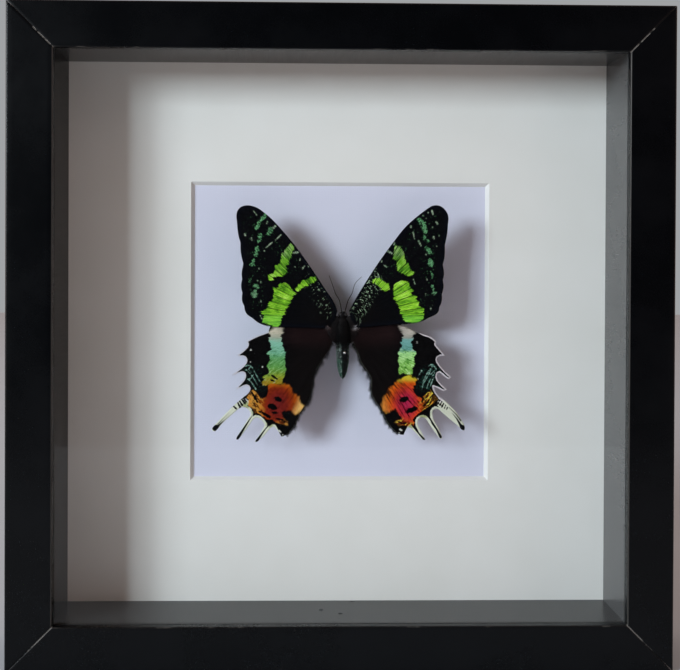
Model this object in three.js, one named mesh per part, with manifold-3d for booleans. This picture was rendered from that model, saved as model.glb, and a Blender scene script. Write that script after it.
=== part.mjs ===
// A spread sunset moth, pinned to a lavender card behind a window mat, in a deep black box frame.
// Millimetres. X runs to the right, Y runs from the front face to the wall, Z is up.
// The frame stands on its bottom edge at Z = 0, and Y = 0 is halfway through its depth.
import * as THREE from "three";
import { mergeVertices } from "three/addons/utils/BufferGeometryUtils.js";
import Module from "manifold-3d";

const wasm = await Module();
wasm.setup();

// Frame mouldings
const FRAME_SIDE = 250;
const FRAME_DEPTH = 45;
const FACE_WIDTH = 17.5;
const WALL = 9.5;
const LIP_DEPTH = 3;
const OUTER_ARRIS = 0.8;
const INNER_ARRIS = 0.5;
const MITRE_SETBACK = 0.1;

// What lies in the rabbet, from the front to the back
const SHEET_SIDE = 230;
const GLAZING = 1.5;
const SPACER_DEPTH = 27;
const SPACER_THICK = 7.3;
const MAT = 1.4;
const CARD = 0.4;
const FOAM = 4;
const BACK_BOARD = 2.5;
const WINDOW_SIDE = 116.8;
const WINDOW_CENTRE = [0.8, 125.4];

// Retaining tabs
const TAB_WIDTH = 8;
const TAB_LENGTH = 13;
const TAB_THICK = 0.5;
const TAB_BURIED = 3;
const TAB_OFFSET = 55;
const TAB_GAP = 0.3;

// Hanger and small holes
const HOLE_SIDES = 16;
const HANGER_LENGTH = 44;
const HANGER_HEIGHT = 9;
const HANGER_THICK = 0.8;
const HANGER_RISE = 1.8;
const HANGER_FOOT = 9;
const HANGER_Z = 212;
const HANGER_TEETH = 9;
const TOOTH_DEPTH = 1.8;
const RIVET_RADIUS = 1.2;
const RIVET_HEAD = 2.2;
const RIVET_HOLE = 1.5;

// The moth and its pin
const MOTH_X = 1.3;
const MOTH_Z = 125;
const WING_STANDOFF = 13;
const WING_THICK = 0.5;
const FOREWING_Y = -0.9;
const BODY_Y = 0.5;
const ANTENNA_THICK = 0.36;
const ANTENNA_SIDES = 8;
const PIN_X = 0.5;
const PIN_Z = -6.7;
const PIN_RADIUS = 0.28;
const PIN_HEAD = 0.6;
const PIN_HOLE = 0.58;
const PIN_HEAD_Y = -3.1;

// Where each layer starts, measured along Y
const FRONT_Y = -FRAME_DEPTH / 2;
const GLAZING_Y = FRONT_Y + LIP_DEPTH;
const SPACER_Y = GLAZING_Y + GLAZING;
const MAT_Y = SPACER_Y + SPACER_DEPTH;
const CARD_Y = MAT_Y + MAT;
const FOAM_Y = CARD_Y + CARD;
const BOARD_Y = FOAM_Y + FOAM;
const BOARD_BACK_Y = BOARD_Y + BACK_BOARD;
const MIDDLE_Z = FRAME_SIDE / 2;
const MOTH_Y = CARD_Y - WING_STANDOFF;
const PIN_AT = [MOTH_X + PIN_X, MOTH_Z + PIN_Z];

const material = (color, roughness, metalness = 0, extra = {}) =>
  new THREE.MeshStandardMaterial({ color, roughness, metalness, ...extra });

const blackFoil = material(0x101013, 0.38);
const clearSheet = material(0xffffff, 0.03, 0, { transparent: true, opacity: 0.12 });
const blackSpacer = material(0x1c1c1d, 0.62);
const matPaper = material(0xd3d5d4, 0.9);
const lavenderPaper = material(0xc3c3dc, 0.92);
const foamWhite = material(0xe9e8e3, 0.85);
const hardboard = material(0x7a5638, 0.8);
const steel = material(0x9a9a98, 0.4, 1);
const wingBlack = material(0x12100f, 0.7);
const bodyBlack = material(0x0f0f10, 0.75);

const root = new THREE.Group();

function addPiece(name, geometry, finish, parent = root) {
  const piece = new THREE.Mesh(geometry, finish);
  piece.name = name;
  parent.add(piece);
  return piece;
}

// Closed solid for cutting and joining
function toSolid(geometry) {
  const bare = geometry.clone();
  bare.deleteAttribute("normal");
  bare.deleteAttribute("uv");
  const merged = mergeVertices(bare, 1e-4);
  const vertProperties = Float32Array.from(merged.attributes.position.array);
  const triVerts = Uint32Array.from(merged.index.array);
  return new wasm.Manifold(new wasm.Mesh({ numProp: 3, vertProperties, triVerts }));
}

function toGeometry(solid) {
  const mesh = solid.getMesh();
  const geometry = new THREE.BufferGeometry();
  geometry.setAttribute("position", new THREE.Float32BufferAttribute(mesh.vertProperties, 3));
  geometry.setIndex(Array.from(mesh.triVerts));
  const loose = geometry.toNonIndexed();
  loose.computeVertexNormals();
  return loose;
}

function boxAt(size, centre) {
  return new THREE.BoxGeometry(...size).translate(...centre);
}

// A flat shape drawn in X and Z, given thickness along Y from y to y + thick
function plate(shape, y, thick) {
  const geometry = new THREE.ExtrudeGeometry(shape, { depth: thick, bevelEnabled: false, curveSegments: 6 });
  return geometry.rotateX(Math.PI / 2).translate(0, y + thick, 0);
}

// Points round a circle, without the closing point
function ring(x, z, radius, sides) {
  const angles = Array.from({ length: sides }, (_, i) => (i / sides) * Math.PI * 2);
  return angles.map((a) => new THREE.Vector2(x + radius * Math.cos(a), z + radius * Math.sin(a)));
}

function roundHole(x, z, radius) {
  return new THREE.Path(ring(x, z, radius, HOLE_SIDES));
}

// The square outline that the glazing, mat, card and boards are all cut to
function sheetShape() {
  const h = SHEET_SIDE / 2;
  const corners = [[-h, -h], [h, -h], [h, h], [-h, h]];
  return new THREE.Shape(corners.map(([x, z]) => new THREE.Vector2(x, MIDDLE_Z + z)));
}

// A rod or dome turned about Y, from radius and Y pairs
function turnedAboutY(profile, x, z, segments = 16) {
  const points = profile.map(([radius, y]) => new THREE.Vector2(radius, y));
  return new THREE.LatheGeometry(points, segments).translate(x, 0, z);
}

// Moulding section: u runs inward from the outer face, v runs back from the front face
function railSection() {
  const section = new THREE.Shape();
  section.moveTo(0, OUTER_ARRIS);
  section.absarc(OUTER_ARRIS, OUTER_ARRIS, OUTER_ARRIS, Math.PI, Math.PI * 1.5, false);
  section.absarc(FACE_WIDTH - INNER_ARRIS, INNER_ARRIS, INNER_ARRIS, Math.PI * 1.5, Math.PI * 2, false);
  section.lineTo(FACE_WIDTH, LIP_DEPTH);
  section.lineTo(WALL, LIP_DEPTH);
  section.lineTo(WALL, FRAME_DEPTH);
  section.lineTo(0, FRAME_DEPTH);
  return section;
}

// The bottom rail: the section is drawn out along X, with each end slid in by u for the mitre
function railGeometry() {
  const half = FRAME_SIDE / 2;
  const geometry = new THREE.ExtrudeGeometry(railSection(), {
    depth: 2,
    bevelEnabled: false,
    curveSegments: 4,
  });
  const place = geometry.attributes.position;
  for (let i = 0; i < place.count; i += 1) {
    const u = place.getX(i);
    const v = place.getY(i);
    const end = 1 - place.getZ(i);
    place.setXYZ(i, end * (half - u - MITRE_SETBACK), FRONT_Y + v, u);
  }
  return geometry;
}

// Slots that the retaining tabs are driven into
function tabSlots() {
  const size = [TAB_WIDTH + 2 * TAB_GAP, TAB_THICK + 2 * TAB_GAP, TAB_BURIED + TAB_GAP + 1];
  const y = BOARD_BACK_Y + TAB_GAP + TAB_THICK / 2;
  const z = WALL - TAB_BURIED - TAB_GAP + size[2] / 2;
  return [-TAB_OFFSET, TAB_OFFSET].map((x) => toSolid(boxAt(size, [x, y, z])));
}

function tabGeometry(x) {
  const r = TAB_WIDTH / 2;
  const z = WALL - TAB_BURIED;
  const shape = new THREE.Shape();
  shape.moveTo(x - r, z);
  shape.lineTo(x + r, z);
  shape.lineTo(x + r, z + TAB_LENGTH - r);
  shape.absarc(x, z + TAB_LENGTH - r, r, 0, Math.PI, false);
  return plate(shape, BOARD_BACK_Y + TAB_GAP, TAB_THICK);
}

function buildRails() {
  const slots = tabSlots();
  const rail = toGeometry(slots.reduce((solid, slot) => solid.subtract(slot), toSolid(railGeometry())));
  const sides = ["bottom", "right", "top", "left"];
  sides.forEach((side, quarter) => {
    const turn = new THREE.Matrix4()
      .makeTranslation(0, 0, MIDDLE_Z)
      .multiply(new THREE.Matrix4().makeRotationY(-quarter * Math.PI / 2))
      .multiply(new THREE.Matrix4().makeTranslation(0, 0, -MIDDLE_Z));
    addPiece(`rail_${side}`, rail.clone().applyMatrix4(turn), blackFoil.clone());
    ["a", "b"].forEach((letter, i) => {
      const tab = tabGeometry(i === 0 ? -TAB_OFFSET : TAB_OFFSET).applyMatrix4(turn);
      addPiece(`retaining_tab_${side}_${letter}`, tab, steel.clone());
    });
  });
}

function buildSpacers() {
  const half = SHEET_SIDE / 2;
  const y = SPACER_Y + SPACER_DEPTH / 2;
  const reach = half - SPACER_THICK / 2;
  const across = [SHEET_SIDE, SPACER_DEPTH, SPACER_THICK];
  const upright = [SPACER_THICK, SPACER_DEPTH, SHEET_SIDE - 2 * SPACER_THICK];
  addPiece("spacer_top", boxAt(across, [0, y, MIDDLE_Z + reach]), blackSpacer.clone());
  addPiece("spacer_bottom", boxAt(across, [0, y, MIDDLE_Z - reach]), blackSpacer.clone());
  addPiece("spacer_left", boxAt(upright, [-reach, y, MIDDLE_Z]), blackSpacer.clone());
  addPiece("spacer_right", boxAt(upright, [reach, y, MIDDLE_Z]), blackSpacer.clone());
}

// The mat's window is cut by a four-sided cone, which leaves the 45 degree bevel all round
function matGeometry() {
  const [windowX, windowZ] = WINDOW_CENTRE;
  const spare = 1;
  const front = WINDOW_SIDE / 2 + MAT + spare;
  const back = WINDOW_SIDE / 2 - spare;
  const length = MAT + 2 * spare;
  const cutter = new THREE.CylinderGeometry(back * Math.SQRT2, front * Math.SQRT2, length, 4, 1);
  cutter.rotateY(Math.PI / 4).translate(windowX, MAT_Y + MAT / 2, windowZ);
  const sheet = plate(sheetShape(), MAT_Y, MAT);
  return toGeometry(toSolid(sheet).subtract(toSolid(cutter)));
}

function buildSheets() {
  addPiece("glazing", plate(sheetShape(), GLAZING_Y, GLAZING), clearSheet);
  addPiece("mat_board", matGeometry(), matPaper);

  const card = sheetShape();
  card.holes.push(roundHole(...PIN_AT, PIN_HOLE));
  addPiece("backing_card", plate(card, CARD_Y, CARD), lavenderPaper);
  addPiece("foam_board", plate(card, FOAM_Y, FOAM), foamWhite);

  const board = sheetShape();
  hangerFeet().forEach((x) => board.holes.push(roundHole(x, HANGER_Z, RIVET_HOLE)));
  addPiece("back_board", plate(board, BOARD_Y, BACK_BOARD), hardboard);
}

function hangerFeet() {
  const reach = (HANGER_LENGTH - HANGER_FOOT) / 2;
  return [-reach, reach];
}

// Saw teeth along the lower edge of the raised middle strip
function hangerStrip() {
  const half = HANGER_LENGTH / 2 - HANGER_FOOT;
  const top = HANGER_Z + HANGER_HEIGHT / 2;
  const low = HANGER_Z - HANGER_HEIGHT / 2;
  const pitch = (2 * half - 4) / HANGER_TEETH;
  const strip = new THREE.Shape();
  strip.moveTo(-half, top);
  strip.lineTo(-half, low);
  for (let i = 0; i < HANGER_TEETH; i += 1) {
    const x = -half + 2 + i * pitch;
    strip.lineTo(x, low);
    strip.lineTo(x + pitch / 2, low + TOOTH_DEPTH);
  }
  strip.lineTo(half - 2, low);
  strip.lineTo(half, low);
  strip.lineTo(half, top);
  return plate(strip, BOARD_BACK_Y + HANGER_RISE, HANGER_THICK);
}

function hangerFoot(x) {
  const shape = new THREE.Shape();
  const r = HANGER_HEIGHT / 2;
  const inner = Math.sign(x) * (HANGER_LENGTH / 2 - HANGER_FOOT);
  const outer = Math.sign(x) * HANGER_LENGTH / 2;
  shape.moveTo(inner, HANGER_Z - r);
  shape.lineTo(outer, HANGER_Z - r);
  shape.lineTo(outer, HANGER_Z + r);
  shape.lineTo(inner, HANGER_Z + r);
  shape.holes.push(roundHole(x, HANGER_Z, RIVET_HOLE));
  return plate(shape, BOARD_BACK_Y, HANGER_THICK);
}

function buildHanger() {
  let hanger = toSolid(hangerStrip());
  const riser = HANGER_RISE + HANGER_THICK;
  for (const x of hangerFeet()) {
    const edge = Math.sign(x) * (HANGER_LENGTH / 2 - HANGER_FOOT);
    const size = [HANGER_THICK, riser, HANGER_HEIGHT];
    hanger = hanger.add(toSolid(hangerFoot(x)));
    hanger = hanger.add(toSolid(boxAt(size, [edge, BOARD_BACK_Y + riser / 2, HANGER_Z])));
  }
  addPiece("sawtooth_hanger", toGeometry(hanger), steel.clone());
  const headFrom = BOARD_BACK_Y + HANGER_THICK + 0.05;
  const shankFrom = BOARD_Y + 0.3;
  const profile = [
    [0, shankFrom],
    [RIVET_RADIUS, shankFrom],
    [RIVET_RADIUS, headFrom],
    [RIVET_HEAD, headFrom],
    [RIVET_HEAD * 0.85, headFrom + 0.6],
    [RIVET_HEAD * 0.4, headFrom + 1],
    [0, headFrom + 1.1],
  ];
  ["left", "right"].forEach((side, i) => {
    const rivet = turnedAboutY(profile, hangerFeet()[i], HANGER_Z);
    addPiece(`hanger_rivet_${side}`, rivet, steel.clone());
  });
}

// Wing outlines in X and Z from the moth's middle. Each run is one smooth edge, and runs meet at corners.
const FOREWING_LEFT = [
  [[-2.3, 9.4], [-3.8, 13.1], [-7.3, 18.2], [-12.1, 25.4], [-19, 34.9], [-26.5, 43.5], [-30.7, 47.3],
    [-34.1, 49.5], [-37.5, 50.2], [-40.4, 49.2], [-41.6, 46.4], [-41.2, 41], [-40.2, 34], [-39.3, 27.3],
    [-39.7, 22], [-39.6, 16.3], [-39, 11.6], [-37.3, 7.8], [-34, 5.2], [-30, 3.5], [-25, 3]],
  [[-25, 3], [-12, 2.7], [-3.7, 2.4]],
  [[-3.7, 2.4], [-3.6, 4.6], [-2.9, 6.8], [-2.3, 9.4]],
];
const FOREWING_RIGHT = [
  [[2.3, 9.3], [4, 12.6], [7.1, 17.9], [13.2, 27.5], [19.3, 36.1], [24.8, 42.9], [32.3, 49.1],
    [35.6, 50.6], [38.7, 49.6], [40.8, 45.8], [40.1, 37.2], [39.2, 28.2], [39.2, 21.9], [38.7, 15.2],
    [37.4, 9.6], [34.9, 7.3], [31.9, 5.8], [28.4, 4.8], [23.7, 4.3]],
  [[23.7, 4.3], [12, 3.4], [3.7, 2.6]],
  [[3.7, 2.6], [3.6, 4.6], [2.9, 6.8], [2.3, 9.3]],
];
const HINDWING_LEFT = [
  [[-3.7, 0.6], [-10, 5.6], [-20, 6.6], [-26.4, 5], [-28.6, 2.6], [-28.9, 0.7]],
  [[-28.9, 0.7], [-33, -0.7], [-37.1, -2.7]],
  [[-37.1, -2.7], [-36.8, -4.4], [-38.6, -6.5], [-41, -8.3]],
  [[-41, -8.3], [-38.3, -8.4], [-37.3, -10.1], [-38.2, -12], [-40.3, -13.9], [-43.2, -15.9]],
  [[-43.2, -15.9], [-39.2, -14.4], [-37.8, -15.6], [-38.5, -18], [-41.5, -21.3]],
  [[-41.5, -21.3], [-37.8, -19.6], [-36.1, -20.5], [-36.4, -22.2], [-37.7, -23.6], [-39.7, -25.3],
    [-42.7, -28], [-46.8, -32.2], [-50.6, -36.3], [-50.8, -37.4], [-49.6, -37.8], [-46.2, -34],
    [-42.7, -30.8], [-40.3, -28.8], [-38, -28.4], [-36.3, -29.7], [-35.8, -31.2], [-37.2, -33.6],
    [-41.3, -40.2]],
  [[-41.3, -40.2], [-41.4, -41.1], [-40.6, -41]],
  [[-40.6, -41], [-38.2, -37.8], [-34.9, -33.2], [-33.6, -32.4], [-32.2, -32.9], [-30.6, -34.6],
    [-30.5, -35.9], [-32.2, -38.9], [-34.3, -41.9]],
  [[-34.3, -41.9], [-33.4, -42], [-30.5, -39.3], [-28.2, -36.6], [-26.8, -36], [-25.5, -37.2],
    [-23.8, -39.9]],
  [[-23.8, -39.9], [-21.4, -38.8], [-19, -35.5], [-17, -31.4], [-15.3, -28.6], [-13, -25.2],
    [-12, -20.2], [-10.7, -14.5], [-8.3, -10.1], [-5.8, -6.4], [-4.4, -3.8]],
  [[-4.4, -3.8], [-3.9, -2], [-3.7, 0.6]],
];
const HINDWING_RIGHT = [
  [[3.7, 0.6], [10, 4.9], [17, 5.4], [22.4, 4.2], [28.6, 1.2], [30.9, 0.4], [34.3, -0.8], [36.5, -2.5]],
  [[36.5, -2.5], [36.2, -3.6], [37.8, -5.6], [40, -8.1]],
  [[40, -8.1], [37.9, -8.2], [36.7, -9.4], [37.8, -11.7], [40, -14.2], [42.5, -16.6]],
  [[42.5, -16.6], [41.1, -17.1], [37.9, -14.6], [36.8, -15.7], [37.5, -18.1], [40.8, -21.4]],
  [[40.8, -21.4], [39.6, -21.9], [37.6, -20.9], [35.5, -20.1]],
  [[35.5, -20.1], [36.2, -22.2], [37.9, -24.3], [39.9, -25.6], [44, -29.6], [46.4, -32.9],
    [47.9, -35.8], [47.5, -37.5], [44.7, -35.1], [40.6, -31.7], [37.4, -29], [35.9, -29.1], [35.2, -30.4],
    [35.9, -33.6], [37.9, -37.1], [39.2, -40.4]],
  [[39.2, -40.4], [38.6, -40.9], [37.6, -39.8], [34.8, -36.1], [32.7, -32.9], [31, -32.3], [29.6, -33.4],
    [29.7, -35.6], [31.1, -38.2], [32.6, -41.2]],
  [[32.6, -41.2], [31.2, -40.8], [27.7, -37.3], [26, -36.1], [24.7, -37.5], [24, -39.2]],
  [[24, -39.2], [21.6, -38.5], [18.2, -35.1], [16.2, -31.4], [14.5, -28.3], [12.6, -25.6], [11.2, -22.4],
    [11.2, -17.5], [9.6, -14.2], [7.3, -10.9], [6, -7.4], [4.4, -3.8]],
  [[4.4, -3.8], [3.9, -2], [3.7, 0.6]],
];
const EDGE_STEP = 1.1;

function wingShape(runs) {
  const outline = [];
  for (const run of runs) {
    const edge = new THREE.SplineCurve(run.map(([x, z]) => new THREE.Vector2(x, z)));
    const steps = Math.max(2, Math.round(edge.getLength() / EDGE_STEP));
    outline.push(...edge.getSpacedPoints(steps).slice(0, -1));
  }
  return new THREE.Shape(outline);
}

function buildWings(moth) {
  const wings = {
    forewing_left: [FOREWING_LEFT, FOREWING_Y],
    forewing_right: [FOREWING_RIGHT, FOREWING_Y],
    hindwing_left: [HINDWING_LEFT, 0],
    hindwing_right: [HINDWING_RIGHT, 0],
  };
  for (const [name, [runs, y]] of Object.entries(wings)) {
    addPiece(name, plate(wingShape(runs), y - WING_THICK / 2, WING_THICK), wingBlack.clone(), moth);
  }
}

// Head, thorax and abdomen in one turned body: radius against height
const BODY_PROFILE = [
  [0, 9.1], [1.1, 8.8], [1.7, 7.7], [1.5, 6.7], [2.4, 5.4], [3.05, 3], [3.05, 0.2], [2.6, -2.6],
  [2.1, -3.9], [2.45, -5.4], [2.5, -8], [2.2, -11.2], [1.65, -14.2], [0.9, -16.3], [0, -17],
];
const BODY_STEPS = 34;
const BODY_SIDES = 20;

function bodyGeometry() {
  const outline = new THREE.SplineCurve(BODY_PROFILE.map(([r, z]) => new THREE.Vector2(r, z)));
  const points = outline.getPoints(BODY_STEPS).reverse();
  points.forEach((point) => point.setX(Math.max(point.x, 0)));
  points[0].setX(0);
  points[points.length - 1].setX(0);
  const body = new THREE.LatheGeometry(points, BODY_SIDES).rotateX(Math.PI / 2).translate(0, BODY_Y, 0);
  const reach = 12;
  const bore = turnedAboutY([[0, -reach], [PIN_HOLE, -reach], [PIN_HOLE, reach], [0, reach]], PIN_X, PIN_Z);
  return toGeometry(toSolid(body).subtract(toSolid(bore)));
}

// A thin feeler along a smooth path
function antennaGeometry(path) {
  const points = path.map(([x, y, z]) => new THREE.Vector3(x, y, z));
  const section = new THREE.Shape(ring(0, 0, ANTENNA_THICK / 2, ANTENNA_SIDES));
  return new THREE.ExtrudeGeometry(section, {
    steps: 20,
    bevelEnabled: false,
    extrudePath: new THREE.CatmullRomCurve3(points),
  });
}

const ANTENNAE = {
  antenna_left: [[-0.5, -1, 9.5], [-1.5, -1.8, 13.3], [-3.1, -2.2, 16.2], [-4.2, -2.4, 19.3], [-5.5, -2.5, 22.9]],
  antenna_right: [[0.6, -1, 9.5], [1.8, -1.8, 13.3], [3.4, -2.2, 16.4], [4.5, -2.4, 20], [6.8, -2.5, 22.5]],
};

function buildPin() {
  const shaftEnd = BOARD_Y - 0.5;
  const headY = MOTH_Y + PIN_HEAD_Y;
  const profile = [[0, headY - PIN_HEAD]];
  for (let i = 1; i <= 6; i += 1) {
    const angle = (i / 8) * Math.PI;
    profile.push([PIN_HEAD * Math.sin(angle), headY - PIN_HEAD * Math.cos(angle)]);
  }
  profile.push([PIN_RADIUS, headY + PIN_HEAD * 0.88]);
  profile.push([PIN_RADIUS, shaftEnd - 2]);
  profile.push([0, shaftEnd]);
  addPiece("pin", turnedAboutY(profile, ...PIN_AT), steel.clone());
}

function buildMoth() {
  const moth = new THREE.Group();
  moth.position.set(MOTH_X, MOTH_Y, MOTH_Z);
  root.add(moth);
  addPiece("moth_body", bodyGeometry(), bodyBlack, moth);
  buildWings(moth);
  for (const [name, path] of Object.entries(ANTENNAE)) {
    addPiece(name, antennaGeometry(path), bodyBlack.clone(), moth);
  }
}

buildRails();
buildSpacers();
buildSheets();
buildHanger();
buildMoth();
buildPin();

export default root;
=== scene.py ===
import math

import bmesh
import bpy
import numpy as np
from mathutils import Matrix, Vector
from mathutils.geometry import delaunay_2d_cdt


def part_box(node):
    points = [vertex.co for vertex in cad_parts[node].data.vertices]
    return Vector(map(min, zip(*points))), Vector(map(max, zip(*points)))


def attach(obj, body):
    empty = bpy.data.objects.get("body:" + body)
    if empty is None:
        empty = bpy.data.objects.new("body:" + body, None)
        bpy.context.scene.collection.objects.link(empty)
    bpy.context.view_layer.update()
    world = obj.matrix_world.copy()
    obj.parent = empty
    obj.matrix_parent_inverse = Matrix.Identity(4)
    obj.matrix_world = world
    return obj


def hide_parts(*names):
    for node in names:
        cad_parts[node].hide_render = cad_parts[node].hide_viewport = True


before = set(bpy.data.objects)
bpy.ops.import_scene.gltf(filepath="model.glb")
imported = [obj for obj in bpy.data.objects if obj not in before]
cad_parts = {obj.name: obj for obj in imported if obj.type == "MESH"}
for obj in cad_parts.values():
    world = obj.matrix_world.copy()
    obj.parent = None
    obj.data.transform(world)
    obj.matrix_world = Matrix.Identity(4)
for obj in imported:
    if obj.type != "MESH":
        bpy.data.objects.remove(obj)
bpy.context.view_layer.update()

# Sizes in millimetres, in the frame's own axes: X right, Y into the wall, Z up
MM = 0.001
FRAME_SIDE = 250
FRAME_DEPTH = 45
FACE_WIDTH = 17.5
WALL = 9.5
LIP_DEPTH = 3
OUTER_ARRIS = 0.8
INNER_ARRIS = 0.5
MITRE_SETBACK = 0.1
HALF = FRAME_SIDE / 2
FRONT_Y = -FRAME_DEPTH / 2
MAT_FRONT_Y = 9
WINDOW_X = 0.8
WINDOW_Z = 125.4
MOTH_X = 1.3
MOTH_Z = 125
MOTH_Y = -2.6
BODY_Y = MOTH_Y + 0.5
FOREWING_Y = MOTH_Y - 0.9
HINDWING_Y = MOTH_Y
PIN_X = 1.8
PIN_Z = 118.3
PIN_HEAD_Y = MOTH_Y - 3.1
FOREWING_CURL = 1.1
HINDWING_CURL = 0.4
SCALLOP_DEPTH = 0.42

# Radians from one vein, or one scallop of the rim, to the next as they fan out
VEIN_STEP = 0.105
HINDWING_VEIN_STEP = 0.16
SCALLOP_STEP = 0.133

SIDES = (("left", -1), ("right", 1))


# ---------------------------------------------------------------- node helpers

class Wire:
    """A node's output. Arithmetic with it adds math nodes to the same tree."""

    def __init__(self, bench, socket):
        self.bench = bench
        self.socket = socket

    def __add__(self, other):
        return self.bench.math("ADD", self, other)

    def __radd__(self, other):
        return self.bench.math("ADD", other, self)

    def __sub__(self, other):
        return self.bench.math("SUBTRACT", self, other)

    def __rsub__(self, other):
        return self.bench.math("SUBTRACT", other, self)

    def __mul__(self, other):
        return self.bench.math("MULTIPLY", self, other)

    def __rmul__(self, other):
        return self.bench.math("MULTIPLY", other, self)

    def __truediv__(self, other):
        return self.bench.math("DIVIDE", self, other)

    def __rtruediv__(self, other):
        return self.bench.math("DIVIDE", other, self)

    def __abs__(self):
        return self.bench.math("ABSOLUTE", self)


class Outputs:
    """A node's outputs as wires, picked by name, number or slice"""

    def __init__(self, bench, sockets):
        self.bench = bench
        self.sockets = sockets

    def __getitem__(self, key):
        picked = self.sockets[key]
        if isinstance(key, slice):
            return [Wire(self.bench, socket) for socket in picked]
        return Wire(self.bench, picked)


class Bench:
    """Adds nodes to one tree. An input takes a plain value or a wire."""

    def __init__(self, tree):
        self.tree = tree

    def add(self, kind, inputs=None, **settings):
        node = self.tree.nodes.new(kind)
        for key, value in settings.items():
            setattr(node, key, value)
        for key, value in (inputs or {}).items():
            self.feed(node.inputs[key], value)
        return node

    def out(self, kind, inputs=None, **settings):
        """Adds a node and gives its outputs"""
        return Outputs(self, self.add(kind, inputs, **settings).outputs)

    def feed(self, socket, value):
        if isinstance(value, Wire):
            self.tree.links.new(value.socket, socket)
        else:
            socket.default_value = value

    def math(self, operation, *values):
        return self.out("ShaderNodeMath", dict(enumerate(values)), operation=operation)[0]

    def largest(self, first, *others):
        for other in others:
            first = self.math("MAXIMUM", first, other)
        return first

    def length(self, x, y):
        return self.math("SQRT", x * x + y * y)

    def vector(self, operation, *values):
        return self.out("ShaderNodeVectorMath", dict(enumerate(values)), operation=operation)[0]

    def xyz(self, x, y, z=0.0):
        return self.out("ShaderNodeCombineXYZ", {0: x, 1: y, 2: z})[0]

    def split(self, vector):
        return self.out("ShaderNodeSeparateXYZ", {0: vector})

    def step(self, value, low, high, out_low=0.0, out_high=1.0):
        """Smooth change from out_low to out_high while value goes from low to high"""
        inputs = {0: value, 1: low, 2: high, 3: out_low, 4: out_high}
        return self.out("ShaderNodeMapRange", inputs, interpolation_type="SMOOTHSTEP")[0]

    def noise(self, vector, scale, detail=2.0, rough=0.5):
        inputs = {"Vector": vector, "Scale": scale, "Detail": detail, "Roughness": rough}
        return self.out("ShaderNodeTexNoise", inputs)[0]

    def cells(self, vector, scale):
        return self.out("ShaderNodeTexVoronoi", {"Vector": vector, "Scale": scale})

    def draw(self, number):
        """A random value from 0 to 1 for each whole number"""
        return self.out("ShaderNodeTexWhiteNoise", {"W": number}, noise_dimensions="1D")["Value"]

    def mix(self, factor, a, b, blend="MIX"):
        inputs = {0: factor, 6: a, 7: b}
        return self.out("ShaderNodeMix", inputs, data_type="RGBA", blend_type=blend)[2]

    def darker(self, share, colour, tint):
        """The colour multiplied by a tint, by a share of the surface"""
        return self.mix(share, colour, self.mix(1.0, colour, tint, "MULTIPLY"))

    def ramp(self, factor, stops):
        """stops are (place, colour) pairs"""
        node = self.add("ShaderNodeValToRGB", {0: factor})
        band = node.color_ramp
        while len(band.elements) < len(stops):
            band.elements.new(1.0)
        for element, (place, colour) in zip(band.elements, stops):
            element.position = place
            element.color = colour
        return Wire(self, node.outputs[0])

    def attribute(self, name):
        return self.out("ShaderNodeAttribute", attribute_name=name)["Fac"]

    def group(self, tree, inputs):
        return self.out("ShaderNodeGroup", inputs, node_tree=tree)

    def where(self):
        """The place on the object, in millimetres"""
        coordinates = self.out("ShaderNodeTexCoord")["Object"]
        return self.out("ShaderNodeMapping", {"Vector": coordinates, "Scale": (1 / MM, 1 / MM, 1 / MM)})[0]


def rgb(red, green, blue):
    """A display colour from 0 to 255 as the shader's linear colour"""
    values = [c / 255 for c in (red, green, blue)]
    linear = [c / 12.92 if c <= 0.04045 else ((c + 0.055) / 1.055) ** 2.4 for c in values]
    return (*linear, 1.0)


SOCKETS = {float: "NodeSocketFloat", tuple: "NodeSocketVector", int: "NodeSocketInt"}


def shader_group(name, inputs, outputs):
    """An empty shader group with named sockets; returns its tree, bench, input sockets and output node"""
    tree = bpy.data.node_groups.new(name, "ShaderNodeTree")
    for label, value in inputs.items():
        kind = SOCKETS[type(value)]
        socket = tree.interface.new_socket(label, in_out="INPUT", socket_type=kind)
        socket.default_value = value
    for label in outputs:
        tree.interface.new_socket(label, in_out="OUTPUT", socket_type="NodeSocketFloat")
    bench = Bench(tree)
    return tree, bench, bench.out("NodeGroupInput"), bench.add("NodeGroupOutput")


def make_edge_wear():
    """Broken rubbing along an edge, from the distance to it"""
    inputs = {"Position": (0.0, 0.0, 0.0), "Distance": 1.0, "Width": 0.3, "Patch": 0.2, "Amount": 0.5}
    tree, b, given, out = shader_group("edge_wear", inputs, ["Mask"])
    patches = b.noise(given["Position"], given["Patch"], 3.0, 0.6)
    fray = b.noise(given["Position"], 2.6, 2.0, 0.6)
    reach = given["Width"] * (fray + 0.4)
    near = b.step(given["Distance"] / reach, 1.15, 0.55)
    limit = 1.0 - given["Amount"]
    shown = b.step(patches, limit, limit + 0.12)
    b.feed(out.inputs[0], near * shown)
    return tree


def make_dust():
    """Scattered specks of differing size"""
    inputs = {"Position": (0.0, 0.0, 0.0), "Spacing": 4.0, "Size": 0.15, "Amount": 0.5}
    tree, b, given, out = shader_group("dust_specks", inputs, ["Mask"])
    scale = 1.0 / given["Spacing"]
    cell = b.cells(given["Position"], scale)
    pick = b.split(cell["Color"])
    size = given["Size"] / given["Spacing"] * (pick[1] + 0.5)
    speck = b.step(cell["Distance"], size, size * 0.5)
    kept = b.math("LESS_THAN", pick[0], given["Amount"])
    b.feed(out.inputs[0], speck * kept)
    return tree


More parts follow.
